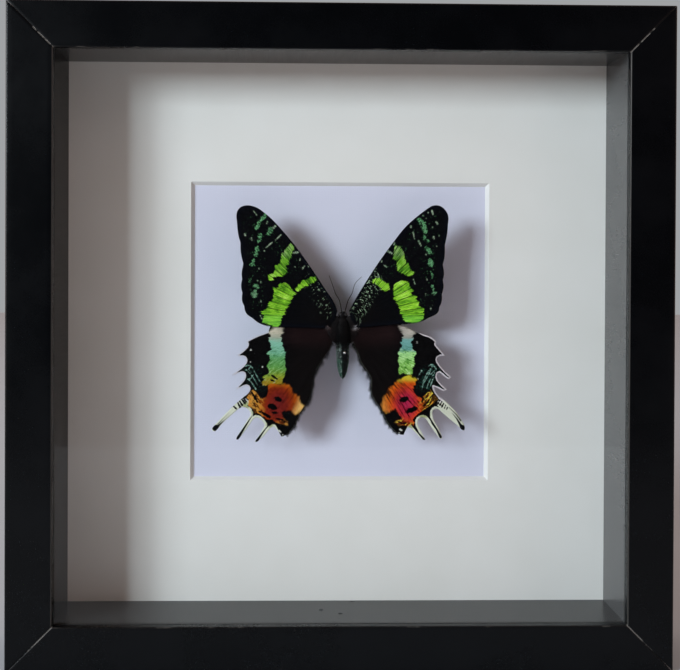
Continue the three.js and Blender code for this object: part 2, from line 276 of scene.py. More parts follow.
def make_paper():
    """Felt marks and fibres of board and card"""
    inputs = {"Position": (0.0, 0.0, 0.0), "Grain": 1.6}
    tree, b, given, out = shader_group("paper_tooth", inputs, ["Height", "Tone"])
    tooth = b.noise(given["Position"], given["Grain"], 4.0, 0.62)
    fibre_place = b.vector("MULTIPLY", given["Position"], (2.4, 2.4, 0.5))
    fibres = b.noise(fibre_place, given["Grain"], 3.0, 0.7)
    cloud = b.noise(given["Position"], 0.035, 3.0, 0.55)
    height = tooth * 0.6 + fibres * 0.4
    b.feed(out.inputs["Height"], height)
    tone = height * 0.5 + cloud * 0.5
    b.feed(out.inputs["Tone"], tone)
    return tree


def make_weave():
    """Embossed linen: upright and level threads of uneven strength"""
    inputs = {"Position": (0.0, 0.0, 0.0), "Thread": 0.4, "Slub": 0.5}
    tree, b, given, out = shader_group("linen_weave", inputs, ["Height", "Tone"])
    place = b.split(given["Position"])
    turn = 2 * math.pi / given["Thread"]
    strands = []
    for across, along in ((0, 2), (2, 0)):
        drift = b.noise(b.xyz(place[across] * 0.5, place[along] * 0.06), 1.0)
        shifted = place[across] + drift * 0.8
        wave = b.math("SINE", shifted * turn)
        slub_place = b.xyz(place[across] * 1.9, place[along] * 0.09, 7.0)
        slub = b.noise(slub_place, 1.0, 3.0, 0.7)
        strength = 0.5 + (slub - 0.5) * given["Slub"]
        strands.append(wave * 0.12 + strength)
    both = (strands[0] + strands[1]) * 0.5
    b.feed(out.inputs["Height"], both)
    b.feed(out.inputs["Tone"], both)
    return tree


def make_ragged_patch():
    """A marking from its signed distance: it steps from vein to vein and frays along the rows of scales"""
    inputs = {"Inside": 0.0, "Ray": 0.0, "Reach": 0.0, "Fray": 0.8, "Soft": 0.16, "Jag": 0.0, "Shift": 0.0}
    tree, b, given, out = shader_group("ragged_patch", inputs, ["Mask"])
    across = given["Ray"] * 26.0
    coarse_place = b.xyz(across, given["Reach"] * 0.16, given["Shift"])
    coarse = b.noise(coarse_place, 1.0, 3.0, 0.65) - 0.5
    fine_place = b.xyz(across * 3.2, given["Reach"] * 0.5, given["Shift"])
    fine = b.noise(fine_place, 1.0, 2.0, 0.6) - 0.5
    wobble = coarse * 2.2 + fine * 1.6
    frayed = given["Inside"] + wobble * given["Fray"]
    cell = b.math("FLOOR", given["Ray"] * (2 / VEIN_STEP))
    pick = b.draw(cell + given["Shift"])
    jag = (pick - 0.5) * given["Jag"]
    b.feed(out.inputs[0], b.step(frayed + jag, given["Soft"] * -1.0, given["Soft"]))
    return tree


def make_scale_rows():
    """Overlapping rows of wing scales and the fine lines that fan out with the veins"""
    inputs = {"Ray": 0.0, "Reach": 0.0}
    tree, b, given, out = shader_group("scale_rows", inputs, ["Line", "Glint", "Height"])
    across = given["Ray"] * 30.0
    line_place = b.xyz(across * 2.6, given["Reach"] * 0.12)
    line = b.noise(line_place, 1.0, 4.0, 0.7)
    b.feed(out.inputs["Line"], line)
    glint_place = b.xyz(across * 5.0, given["Reach"] * 2.2)
    b.feed(out.inputs["Glint"], b.split(b.cells(glint_place, 1.0)["Color"])[0])
    row = b.math("FRACT", given["Reach"] * 3.2)
    height = row * 0.3 + line * 0.7
    b.feed(out.inputs["Height"], height)
    return tree


EDGE_WEAR = make_edge_wear()
DUST = make_dust()
PAPER = make_paper()
WEAVE = make_weave()
RAGGED = make_ragged_patch()
SCALE_ROWS = make_scale_rows()


# ---------------------------------------------------------------- materials

class Surface(Bench):
    """A new material with one Principled shader; plain values go on the shader's own sockets"""

    def __init__(self, name, **plain):
        self.material = bpy.data.materials.new(name)
        self.material.use_nodes = True
        super().__init__(self.material.node_tree)
        self.tree.nodes.clear()
        self.shader = self.add("ShaderNodeBsdfPrincipled")
        for label, value in plain.items():
            self.shader.inputs[label.replace("_", " ")].default_value = value
        self.add("ShaderNodeOutputMaterial", {"Surface": Wire(self, self.shader.outputs[0])})
        self.place = self.where()

    def set(self, label, value):
        """Feeds one of the shader's own inputs"""
        self.feed(self.shader.inputs[label], value)

    def relief(self, height, depth, strength=1.0):
        """Bumps of a given depth in millimetres"""
        inputs = {"Height": height, "Distance": depth * MM, "Strength": strength}
        self.set("Normal", self.out("ShaderNodeBump", inputs)[0])

    def wear(self, distance, width, patch, amount):
        """Broken rubbing along an edge, from the distance to it"""
        inputs = {"Position": self.place, "Distance": distance, "Width": width, "Patch": patch,
                  "Amount": amount}
        return self.group(EDGE_WEAR, inputs)[0]

    def dust(self, spacing, size, amount):
        """Scattered specks"""
        inputs = {"Position": self.place, "Spacing": spacing, "Size": size, "Amount": amount}
        return self.group(DUST, inputs)[0]

    def paper(self, grain):
        """Felt marks and fibres"""
        return self.group(PAPER, {"Position": self.place, "Grain": grain})

    def drawn(self, stretch, scale, detail, rough):
        """Noise whose grain is drawn out along an axis"""
        return self.noise(self.vector("MULTIPLY", self.place, stretch), scale, detail, rough)


def make_black_foil():
    """Satin foil, worn paler in patches at the mitres and along the inner and outer edges, with a painted
    highlight line along the inner edge of the upright rails
    """
    b = Surface("black_foil", Specular_IOR_Level=0.2)
    x, y, z = b.split(b.place)[:3]
    side = abs(x)
    rise = abs(z - HALF)
    ring = b.largest(side, rise)
    inward = ring - (HALF - FACE_WIDTH)
    back = y - FRONT_Y
    to_mitre = abs(side - rise) * math.sqrt(0.5)
    to_inner = b.length(inward, back)
    to_outer = b.length(HALF - ring, back)
    near_inner = b.step(inward, 14.0, 5.0)
    mitre_wear = b.wear(to_mitre, 0.26, 0.4, 0.2 + near_inner * 0.42) * b.step(back, 1.4, 0.5)
    inner_wear = b.wear(to_inner, 0.5, 0.12, 0.44)
    outer_wear = b.wear(to_outer, 0.45, 0.09, 0.36)
    dust = b.dust(9.0, 0.16, 0.1)
    # The unbroken pale line along the inner edge, mainly on the left and right rails, is a painted
    # highlight, not wear
    upright = b.step(ring - side, 1.0, 0.2, 0.1, 1.0)
    painted_inner_highlight = b.step(to_inner, 0.55, 0.3) * upright * 0.12
    # worn holds the real wear and dust and also the painted highlight line
    worn = b.largest(mitre_wear * 0.8, inner_wear * 0.17, painted_inner_highlight, outer_wear * 0.3, dust * 0.35)
    smear = b.noise(b.place, 0.03, 4.0, 0.6)
    skin = b.mix(b.step(smear, 0.35, 0.7), (0.0008, 0.0011, 0.0017, 1), (0.0018, 0.0022, 0.003, 1))
    b.set("Base Color", b.mix(worn, skin, rgb(150, 146, 140)))
    pebble = b.noise(b.place, 2.2, 3.0, 0.55)
    b.set("Roughness", smear * 0.16 + pebble * 0.06 + (0.17 + worn * 0.3))
    slow = b.noise(b.place, 0.11, 2.0, 0.5)
    b.relief(pebble * 0.05 + slow * 0.95, 0.12, 0.5)
    return b.material


def make_raw_fibre():
    """Bare fibreboard on the frame's back edge and rebate"""
    b = Surface("raw_fibreboard", Specular_IOR_Level=0.2)
    paper = b.paper(1.2)
    saw = b.drawn((0.25, 1.4, 0.25), 1.5, 3.0, 0.6)
    tone = paper["Tone"] * 0.6 + saw * 0.4
    stops = [(0.3, rgb(126, 96, 66)), (0.5, rgb(158, 126, 92)), (0.7, rgb(182, 152, 116))]
    b.set("Base Color", b.ramp(tone, stops))
    b.set("Roughness", b.step(tone, 0.2, 0.8, 0.95, 0.8))
    b.relief(tone, 0.2)
    return b.material


# Middle and half size of each rubbed spot, along X and along Y; they lie low, on the bottom spacer only
SCUFFS = ((-6.8, -2.8, 1.1, 1.6), (0.6, -7.1, 1.3, 1.1), (6.1, 7.6, 1.6, 0.8))
SCUFFS_BELOW = 20.0


def make_black_spacer(name, ior, pale):
    """Black film on one spacer strip, one copy per strip: how much it mirrors and how pale the film is are
    set strip by strip as painted light and shade
    """
    b = Surface(name, IOR=ior)
    x, y, z = b.split(b.place)[:3]
    drawn = b.drawn((0.5, 0.03, 0.5), 1.6, 3.0, 0.6)
    cloud = b.noise(b.place, 0.05, 3.0, 0.5)
    specks = b.dust(5.0, 0.22, 0.05)
    chips = b.wear(y - FRONT_Y, 5.2, 0.3, 0.34)
    marks = []
    for scuff_x, scuff_y, long, wide in SCUFFS:
        apart = b.length((x - scuff_x) / long, (y - scuff_y) / wide)
        ragged_edge = apart + b.noise(b.place, 1.7, 2.0) * 1.2
        marks.append(b.step(ragged_edge, 1.35, 1.1))
    scuffs = b.largest(*marks) * b.step(z, SCUFFS_BELOW, SCUFFS_BELOW - 1)
    light = b.largest(specks * 0.25, chips * 0.02)
    # The film's lightness is painted light and shade: paler on the strip the lamps fall on, darker on the
    # shaded strip
    skin = b.mix(cloud, (pale * 0.8, pale * 0.8, pale * 0.82, 1), (pale * 1.2, pale * 1.2, pale * 1.22, 1))
    skin = b.mix(light, skin, rgb(170, 168, 164))
    b.set("Base Color", b.mix(scuffs * 0.9, skin, (0.003, 0.003, 0.003, 1)))
    b.set("Roughness", 0.2 + drawn * 0.1 + scuffs * 0.5)
    b.relief(cloud * 0.8 + drawn * 0.2, 0.05, 0.4)
    return b.material


def make_mat_paper():
    """Off-white mount board; the bevel round the window shows its whiter core"""
    b = Surface("mat_paper", Specular_IOR_Level=0.25)
    x, y, z = b.split(b.place)[:3]
    paper = b.paper(1.5)
    stops = [(0.3, rgb(226, 226, 222)), (0.55, rgb(232, 232, 229)), (0.75, rgb(236, 236, 234))]
    face = b.ramp(paper["Tone"], stops)
    from_middle = b.largest(abs(x - WINDOW_X), abs(z - WINDOW_Z))
    cut = b.step(y, MAT_FRONT_Y + 0.12, MAT_FRONT_Y + 0.2) * b.step(from_middle, 61.0, 60.6)
    core_tone = b.drawn((1.0, 6.0, 1.0), 1.4, 3.0, 0.6)
    core = b.mix(core_tone, rgb(218, 218, 216), rgb(235, 235, 234))
    colour = b.mix(cut, face, core)
    specks = b.dust(11.0, 0.14, 0.12)
    b.set("Base Color", b.mix(specks * 0.25, colour, rgb(150, 145, 140)))
    b.set("Roughness", b.step(paper["Height"], 0.2, 0.8, 0.86, 0.96))
    b.relief(paper["Height"], 0.07, 0.6)
    return b.material


def make_lavender_card():
    """Pale card embossed like linen"""
    b = Surface("lavender_card", Specular_IOR_Level=0.25)
    weave = b.group(WEAVE, {"Position": b.place, "Thread": 0.9, "Slub": 0.9})
    paper = b.paper(1.1)
    tone = weave["Tone"] * 0.7 + paper["Tone"] * 0.3
    stops = [(0.2, rgb(210, 212, 231)), (0.5, rgb(215, 217, 235)), (0.8, rgb(219, 221, 238))]
    b.set("Base Color", b.ramp(tone, stops))
    b.set("Roughness", b.step(weave["Height"], 0.2, 0.8, 0.84, 0.95))
    b.relief(weave["Height"], 0.1, 0.45)
    return b.material


def make_clear_glazing():
    """Thin clear sheet: a faint mirror at a slant, with a little dust, and open to shadow rays"""
    material = bpy.data.materials.new("clear_glazing")
    material.use_nodes = True
    material.node_tree.nodes.clear()
    b = Bench(material.node_tree)
    place = b.where()
    dust = b.group(DUST, {"Position": place, "Spacing": 14.0, "Size": 0.1, "Amount": 0.16})[0]
    wiped = b.noise(b.vector("MULTIPLY", place, (0.6, 0.2, 0.25)), 0.08, 4.0, 0.65)
    through = b.out("ShaderNodeBsdfTransparent", {"Color": (0.985, 0.99, 0.987, 1)})[0]
    polish = b.step(wiped, 0.3, 0.8, 0.02, 0.09)
    mirror = b.out("ShaderNodeBsdfAnisotropic", {"Color": (0.9, 0.92, 0.92, 1), "Roughness": polish})[0]
    fresnel = b.out("ShaderNodeFresnel", {"IOR": 1.49})[0]
    outside = 1.0 - b.out("ShaderNodeNewGeometry")["Backfacing"]
    seen = 1.0 - b.out("ShaderNodeLightPath")["Is Shadow Ray"]
    share = fresnel * outside * seen
    clear = b.out("ShaderNodeMixShader", {0: share, 1: through, 2: mirror})[0]
    lint = b.out("ShaderNodeBsdfDiffuse", {"Color": (0.5, 0.5, 0.49, 1)})[0]
    veil = dust * 0.3 * seen
    whole = b.out("ShaderNodeMixShader", {0: veil, 1: clear, 2: lint})[0]
    b.add("ShaderNodeOutputMaterial", {"Surface": whole})
    return material


def make_foam_white():
    """Fine cells under white paper"""
    b = Surface("foam_white", Specular_IOR_Level=0.3)
    cell = b.cells(b.place, 1.1)["Distance"]
    paper = b.paper(0.9)
    b.set("Base Color", b.mix(paper["Tone"], rgb(222, 221, 214), rgb(244, 243, 238)))
    b.set("Roughness", b.step(cell, 0.0, 0.7, 0.75, 0.95))
    b.relief(cell, 0.15)
    return b.material


def make_hardboard():
    """Pressed brown board with darker fibres and the wire-screen print of its back"""
    b = Surface("hardboard", Specular_IOR_Level=0.3)
    fibres = b.drawn((1.0, 1.0, 3.2), 0.7, 5.0, 0.7)
    cloud = b.noise(b.place, 0.045, 3.0, 0.55)
    x, _, z = b.split(b.place)[:3]
    screen = b.math("SINE", x * 4.6) * b.math("SINE", z * 4.6)
    tone = fibres * 0.65 + cloud * 0.35
    stops = [(0.32, rgb(92, 60, 38)), (0.5, rgb(122, 84, 54)), (0.66, rgb(146, 106, 72))]
    b.set("Base Color", b.ramp(tone, stops))
    b.set("Roughness", b.step(fibres, 0.2, 0.8, 0.62, 0.85))
    b.relief(screen * 0.3 + fibres, 0.14)
    return b.material


def make_steel(name, light, dark, roughness, grain):
    """Plated steel with cloudy tone, fine scratches and a few dark specks"""
    b = Surface(name, Metallic=1.0)
    cloud = b.noise(b.place, 0.25, 4.0, 0.65)
    scratch = b.drawn((grain, 1.0, 0.25), 3.0, 3.0, 0.7)
    specks = b.dust(1.6, 0.1, 0.2)
    colour = b.mix(b.step(cloud, 0.35, 0.7), light, dark)
    b.set("Base Color", b.mix(specks * 0.4, colour, rgb(88, 80, 70)))
    b.set("Roughness", roughness + scratch * 0.16)
    b.relief(scratch, 0.02, 0.4)
    return b.material


BLACK_FOIL = make_black_foil()
RAW_FIBRE = make_raw_fibre()
# Mirroring and lightness per strip are painted light and shade: the lit right strip is paler and mirrors
# most, the shaded left strip is darkest
SPACER_PAINTED_LIGHT_AND_SHADE = {"left": (1.14, 0.012), "right": (1.46, 0.075), "top": (1.42, 0.03), "bottom": (1.3, 0.038)}
SPACER_FILMS = {place: make_black_spacer(f"black_spacer_{place}", *look)
                for place, look in SPACER_PAINTED_LIGHT_AND_SHADE.items()}
MAT_PAPER = make_mat_paper()
LAVENDER_CARD = make_lavender_card()
CLEAR_GLAZING = make_clear_glazing()
FOAM_WHITE = make_foam_white()
HARDBOARD = make_hardboard()
TAB_STEEL = make_steel("tab_steel", rgb(120, 121, 122), rgb(84, 84, 86), 0.34, 4.0)
HANGER_STEEL = make_steel("plated_steel", rgb(205, 198, 178), rgb(164, 156, 136), 0.26, 2.0)
PIN_STEEL = make_steel("pin_steel", rgb(232, 232, 230), rgb(200, 200, 198), 0.12, 1.0)


# ---------------------------------------------------------------- pieces

def add_piece(name, mesh, materials, slot, *nodes):
    """Puts a finished mesh into the scene as one named piece, standing for the CAD nodes"""
    piece = bpy.data.objects.new(name, mesh)
    bpy.context.scene.collection.objects.link(piece)
    for material in materials:
        if mesh.materials.find(material.name) < 0:
            mesh.materials.append(material)
    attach(piece, "root")
    if nodes:
        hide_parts(*nodes)
    return piece


def dress(material, *nodes):
    """Gives CAD nodes whose shape is right their finished material"""
    for node in nodes:
        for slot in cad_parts[node].material_slots:
            slot.material = material


def mesh_from(name, places, faces, weld=False):
    """A smooth mesh from places in millimetres, its faces turned outwards; weld joins points that meet"""
    mesh = bpy.data.meshes.new(name)
    mesh.from_pydata([tuple(c * MM for c in p) for p in places], [], faces)
    made = bmesh.new()
    made.from_mesh(mesh)
    if weld:
        bmesh.ops.remove_doubles(made, verts=made.verts, dist=1e-6)
    bmesh.ops.recalc_face_normals(made, faces=made.faces)
    made.to_mesh(mesh)
    made.free()
    mesh.shade_smooth()
    return mesh


def sharpen(mesh, degrees):
    """Keeps smooth shading but breaks it at edges sharper than this"""
    mesh.set_sharp_from_angle(angle=math.radians(degrees))


def put_numbers(mesh, name, values, kind="FLOAT"):
    """Keeps a number or a vector for each point of a mesh"""
    field = mesh.attributes.new(name, kind, "POINT")
    key = "value" if kind == "FLOAT" else "vector"
    field.data.foreach_set(key, np.asarray(values, np.float32).ravel())


# The four mitred mouldings

def arc(cx, cy, radius, start, end, count):
    """Points along part of a circle, from one angle to another in degrees"""
    angles = np.radians(np.linspace(start, end, count))
    return [(cx + radius * math.cos(a), cy + radius * math.sin(a)) for a in angles]


def rail_section():
    """u runs inward from the outer face and v back from the front face"""
    ease = 0.35
    section = arc(OUTER_ARRIS, OUTER_ARRIS, OUTER_ARRIS, 180, 270, 9)
    section += [(u, 0) for u in np.linspace(OUTER_ARRIS, FACE_WIDTH - INNER_ARRIS, 9)[1:-1]]
    section += arc(FACE_WIDTH - INNER_ARRIS, INNER_ARRIS, INNER_ARRIS, 270, 360, 7)
    section += [(FACE_WIDTH, LIP_DEPTH), (WALL, LIP_DEPTH)]
    section += arc(WALL - ease, FRAME_DEPTH - ease, ease, 0, 90, 4)
    section += arc(ease, FRAME_DEPTH - ease, ease, 90, 180, 4)
    return section


# How a rail's own line, from end to end and inward, lies in the frame's X and Z
RAILS = {
    "rail_bottom": lambda along, u: (along, u),
    "rail_right": lambda along, u: (HALF - u, HALF + along),
    "rail_top": lambda along, u: (-along, FRAME_SIDE - u),
    "rail_left": lambda along, u: (-HALF + u, HALF - along),
}


WAVE_HEIGHT = 0.018
# How far the face dips at a rail's end and at the next ring
MITRE_DIP = {0: 0.1, 1: 0.035}


def build_rail(name, turn, seed):
    """One moulding, its foil very slightly wavy and its mitre edges eased"""
    rng = np.random.default_rng(seed)
    phases = rng.uniform(0, 2 * math.pi, 4)
    section = rail_section()
    # rings stand close together near each end and evenly between
    inset = [0, 0.1, 0.22, 1.5]
    even_from = 4
    stations = 60
    places = []
    for i in range(stations + 1):
        for u, v in section:
            end = HALF - u - MITRE_SETBACK
            if i < len(inset):
                along = -end + inset[i]
            elif i > stations - len(inset):
                along = end - inset[stations - i]
            else:
                along = (2 * i / stations - 1) * (end - even_from)
            swell = 0
            if v < LIP_DEPTH:
                wave = math.sin(along / 17 + phases[0]) + math.sin(along / 31 + u / 5 + phases[1])
                swell = WAVE_HEIGHT * wave + MITRE_DIP.get(min(i, stations - i), 0)
            x, z = turn(along, u)
            places.append((x, FRONT_Y + v + swell, z))
    count = len(section)
    faces = []
    for i in range(stations):
        for j in range(count):
            k = (j + 1) % count
            faces.append((i * count + j, i * count + k, (i + 1) * count + k, (i + 1) * count + j))
    faces.append(tuple(range(count)))
    faces.append(tuple(range(stations * count, (stations + 1) * count)))
    mesh = mesh_from(name, places, faces)
    mesh.materials.append(BLACK_FOIL)
    mesh.materials.append(RAW_FIBRE)
    bare_from = section.index((WALL, LIP_DEPTH))
    for face in mesh.polygons:
        spots = [v % count for v in face.vertices]
        depth = sum(mesh.vertices[v].co.y for v in face.vertices) / len(spots) / MM
        inside = min(spots) >= bare_from and max(spots) <= count - 4 and len(spots) == 4
        at_mitre = len(spots) > 4
        face.material_index = 1 if inside or at_mitre and depth > 0 else 0
    sharpen(mesh, 40)
    add_piece(name + "_moulding", mesh, [], "black_foil", name)


def turned(profile, x, z, sides):
    """A solid turned about a line along Y, from radius and depth pairs that begin and end at radius 0"""
    places = [(x, profile[0][1], z)]
    for radius, y in profile[1:-1]:
        for a in np.linspace(0, 2 * math.pi, sides, endpoint=False):
            places.append((x + radius * math.cos(a), y, z + radius * math.sin(a)))
    places.append((x, profile[-1][1], z))
    last = len(places) - 1
    faces = []
    rings = len(profile) - 2
    for j in range(sides):
        k = (j + 1) % sides
        faces.append((0, 1 + k, 1 + j))
        faces.append((last, 1 + (rings - 1) * sides + j, 1 + (rings - 1) * sides + k))
        for i in range(rings - 1):
            low, high = 1 + i * sides, 1 + (i + 1) * sides
            faces.append((low + j, low + k, high + k, high + j))
    return places, faces


def build_pin():
    """Polished pin: round head, a small collar under it, straight shaft and point"""
    head, shaft, point = 0.6, 0.28, 14.3
    dome = np.radians(np.arange(0, 151, 10))
    profile = [(head * math.sin(a), PIN_HEAD_Y - head * math.cos(a)) for a in dome]
    profile[0] = (0, PIN_HEAD_Y - head)
    profile += [(shaft * 1.1, PIN_HEAD_Y + head * 0.95), (shaft, PIN_HEAD_Y + head * 1.2)]
    profile += [(shaft, point - 2), (shaft * 0.6, point - 0.9), (shaft * 0.2, point - 0.2), (0, point)]
    mesh = mesh_from("pin_turned", *turned(profile, PIN_X, PIN_Z, 28))
    sharpen(mesh, 60)
    add_piece("insect_pin", mesh, [PIN_STEEL], "bright_steel", "pin")


def build_rivets():
    """Domed rivets in place of the hanger's plain ones"""
    for side in ("left", "right"):
        node = f"hanger_rivet_{side}"
        low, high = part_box(node)
        x, z = (low.x + high.x) / 2 / MM, (low.z + high.z) / 2 / MM
        radius = (high.x - low.x) / 2 / MM
        inner, outer = low.y / MM, high.y / MM
        rise = 1.1
        profile = [(0, inner), (radius * 0.45, inner), (radius * 0.45, outer - rise)]
        profile += [(radius * 0.97, outer - rise), (radius, outer - rise * 0.85)]
        dome = np.radians(np.linspace(15, 80, 7))
        profile += [(radius * math.cos(a), outer - rise * 0.85 + rise * 0.85 * math.sin(a)) for a in dome]
        profile += [(radius * 0.12, outer - 0.02), (0, outer)]
        mesh = mesh_from(node + "_domed", *turned(profile, x, z, 32))
        sharpen(mesh, 50)
        add_piece(node + "_domed", mesh, [HANGER_STEEL], "bright_steel", node)


for order, (rail_name, rail_turn) in enumerate(RAILS.items()):
    build_rail(rail_name, rail_turn, 11 + order)
build_pin()
build_rivets()
dress(CLEAR_GLAZING, "glazing")
for place, film in SPACER_FILMS.items():
    dress(film, f"spacer_{place}")
dress(MAT_PAPER, "mat_board")
dress(LAVENDER_CARD, "backing_card")
dress(FOAM_WHITE, "foam_board")
dress(HARDBOARD, "back_board")
dress(HANGER_STEEL, "sawtooth_hanger")
dress(TAB_STEEL, *[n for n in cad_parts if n.startswith("retaining_tab")])


# ---------------------------------------------------------------- wings

# Markings, in millimetres from the moth's middle. A stroke is (half width, points).
FOREWING_MARKS = {
    "left": {
        "base": (-2.9, 6.2),
        "costa": [(-2.3, 9.4), (-7.3, 18.2), (-12.1, 25.4), (-19, 34.9), (-26.5, 43.5), (-34.1, 49.5)],
        "green": [
            [(-20.3, 35.7), (-18.8, 34.7), (-19.2, 33), (-19.8, 32.3), (-20.3, 30.1), (-21.5, 28.1),
             (-22.3, 26.6), (-21.7, 24.2), (-22.7, 23.2), (-25.1, 22.5), (-26.6, 22.2), (-28.8, 20.7),
             (-29.1, 23.7), (-27.3, 24.2), (-26.6, 25.1), (-26.5, 27), (-24.7, 27.8), (-24.4, 29.5),
             (-23.7, 31.5), (-22.7, 33.5), (-21.5, 34.9)],
            [(-23.7, 20.5), (-22.2, 20.3), (-20.7, 19.1), (-19.7, 17.8), (-18.5, 16.1), (-19.7, 14.7),
             (-20.7, 12.9), (-21.7, 11), (-22.6, 9), (-24.3, 6.3), (-24.1, 5.1), (-24.8, 3.9),
             (-26.5, 3.5), (-29, 4.1), (-31.2, 5), (-31.4, 6.1), (-30.9, 7.5), (-31.7, 8.5),
             (-30, 10.2), (-28, 12.9), (-26.8, 14.4), (-27.2, 18.3), (-25.6, 18.5), (-24.6, 19.8)],
            [(-12.4, 22.8), (-11, 22.5), (-10.6, 21.5), (-11.4, 20.3), (-13.4, 19.6), (-15.4, 18.6),
             (-16.8, 17.4), (-18, 16.5), (-18.7, 17.4), (-18.5, 18.6), (-17.3, 19.7), (-15.8, 20.8),
             (-13.9, 21.9)],
        ],
        "teal": [
            (0.63, [(-32, 44.4), (-30.6, 46.3)]), (0.77, [(-32.7, 43.5), (-33.9, 41.1)]),
            (0.87, [(-32.3, 38.6), (-33, 35.9)]), (0.63, [(-33.3, 34.1), (-33.9, 31)]),
            (0.52, [(-34.7, 29.2), (-35.9, 27.1)]), (0.31, [(-35.2, 28.5), (-34.7, 26.8)]),
            (0.42, [(-35.2, 22.9), (-35.9, 21.5)]), (0.77, [(-34, 18.4), (-34.7, 15.3)]),
            (0.77, [(-28.5, 40.8), (-29.2, 39)]),
        ],
        "pale": [
            (0.28, [(-24.3, 38.9), (-26.4, 36.8)]), (0.28, [(-27.8, 35.9), (-30.2, 33.8)]),
            (0.31, [(-29.6, 43.9), (-29.9, 43.2)]), (0.49, [(-26.6, 42.2), (-27.3, 41.5)]),
            (0.28, [(-30.7, 32.7), (-30.7, 32.4)]), (0.35, [(-38.3, 39), (-38.2, 38.6)]),
            (0.28, [(-35.8, 37.6), (-35.6, 36.7)]), (0.21, [(-35, 48), (-33.7, 46.3)]),
            (0.35, [(-32.8, 25.9), (-32.7, 25.7)]), (0.31, [(-32, 13.2), (-32, 12.7)]),
            (0.24, [(-33.3, 21.2), (-33.3, 20.9)]), (0.24, [(-32.1, 20.7), (-32.1, 20.2)]),
            (0.49, [(-19.2, 31.9), (-17.6, 32.1)]), (0.28, [(-16.9, 29.6), (-16.9, 29)]),
            (0.35, [(-15.9, 25.8), (-15.2, 26.7)]), (0.28, [(-13.6, 26.7), (-13.5, 26.5)]),
            (0.31, [(-9.9, 17.5), (-9.4, 17.6)]), (0.31, [(-6.6, 11.5), (-6.2, 11.7)]),
            (0.24, [(-18.8, 26.5), (-18.8, 26.3)]), (0.3, [(-31.6, 6.2), (-32.2, 7.4)]),
        ],
    },
    "right": {
        "base": (2.9, 6.2),
        "costa": [(2.3, 9.3), (7.1, 17.9), (13.2, 27.5), (19.3, 36.1), (24.8, 42.9), (32.3, 49.1)],
        "green": [
            [(20.3, 34.9), (21.8, 34.6), (23, 33.2), (23.8, 31.5), (24, 29.8), (25, 28), (25.8, 26.3),
             (26.3, 25.4), (28.2, 24.8), (27.7, 23.9), (26.3, 22.9), (24.3, 23.1), (23.1, 23.9),
             (21.1, 25.1), (20.6, 26.8), (20.4, 28), (19.4, 30.2), (19.5, 31.9), (19.8, 33.7)],
            [(22.4, 21.4), (24.3, 21.2), (25.8, 20.5), (26.3, 19), (26.9, 17.5), (26.8, 16.1), (28.3, 14.8),
             (29, 13.1), (29.5, 11.4), (31.3, 10.2), (31.8, 8.2), (31.3, 6.3), (28.8, 5), (26.4, 4.7),
             (24.4, 5.3), (23.2, 6.7), (22.4, 9.2), (21.9, 11.6), (20.9, 12.8), (19.9, 14.1),
             (19.4, 16), (19.4, 18.5), (19.9, 20.2), (21.1, 20.9)],
            [(11.1, 21.4), (12.1, 21.6), (14, 22.5), (15.7, 21.4), (17, 20.2), (18.4, 18.7), (18, 17.5),
             (16.7, 16.9), (15.3, 17.7), (13.8, 18.9), (12.3, 19.9)],
        ],
        "teal": [
            (0.84, [(30.9, 43.5), (32, 40.5)]), (0.84, [(32.5, 34.1), (33.9, 32)]),
            (0.77, [(33.6, 29.2), (34.1, 27.4)]), (0.56, [(34.2, 24.6), (34.7, 22.5)]),
            (0.7, [(34.7, 19), (35.3, 16.9)]), (0.45, [(29.1, 45.2), (30.2, 44.4)]),
            (0.28, [(31.5, 38.6), (32, 36.2)]), (0.42, [(32.7, 37.2), (33.2, 36.5)]),
        ],
        "pale": [
            (0.31, [(27.1, 40), (27.6, 37.5)]), (0.31, [(29.2, 36.8), (30.2, 34.8)]),
            (0.45, [(26.2, 42.4), (26.2, 41.9)]), (0.42, [(36, 44.2), (36.5, 43.5)]),
            (0.31, [(34.6, 42.3), (34.6, 41.9)]), (0.35, [(35, 38.3), (35.3, 37.4)]),
            (0.24, [(37.2, 39), (37.2, 38.5)]), (0.28, [(36.2, 34.8), (36.3, 34.6)]),
            (0.28, [(32.1, 16.2), (32.1, 15.7)]), (0.31, [(34.1, 10.4), (34.1, 10.1)]),
            (0.21, [(34.8, 11.7), (34.8, 11.5)]), (0.24, [(32.2, 31.4), (32.2, 31.3)]),
            (0.28, [(32.6, 21.8), (32.7, 21.5)]), (0.28, [(27.3, 21.8), (27.9, 20)]),
            (0.38, [(19.7, 35.8), (19.7, 35.2)]), (0.38, [(14.9, 28.9), (14.9, 28.6)]),
            (0.28, [(15.9, 27.2), (16.8, 26.5)]), (0.28, [(12.6, 25.9), (12.7, 25.8)]),
            (0.28, [(12.2, 24.9), (12.3, 24.7)]), (0.24, [(13.3, 24.2), (14, 22.4)]),
            (0.38, [(10.9, 22.6), (10.9, 22.3)]), (0.49, [(17.5, 32.6), (18.7, 31.9)]),
            (0.38, [(30.9, 46.6), (31, 46.3)]), (0.28, [(32.1, 45.6), (32.1, 45.5)]),
            (0.31, [(32.8, 47.9), (32.9, 47.7)]), (0.45, [(34.4, 48.4), (34.7, 47)]),
        ],
    },
}
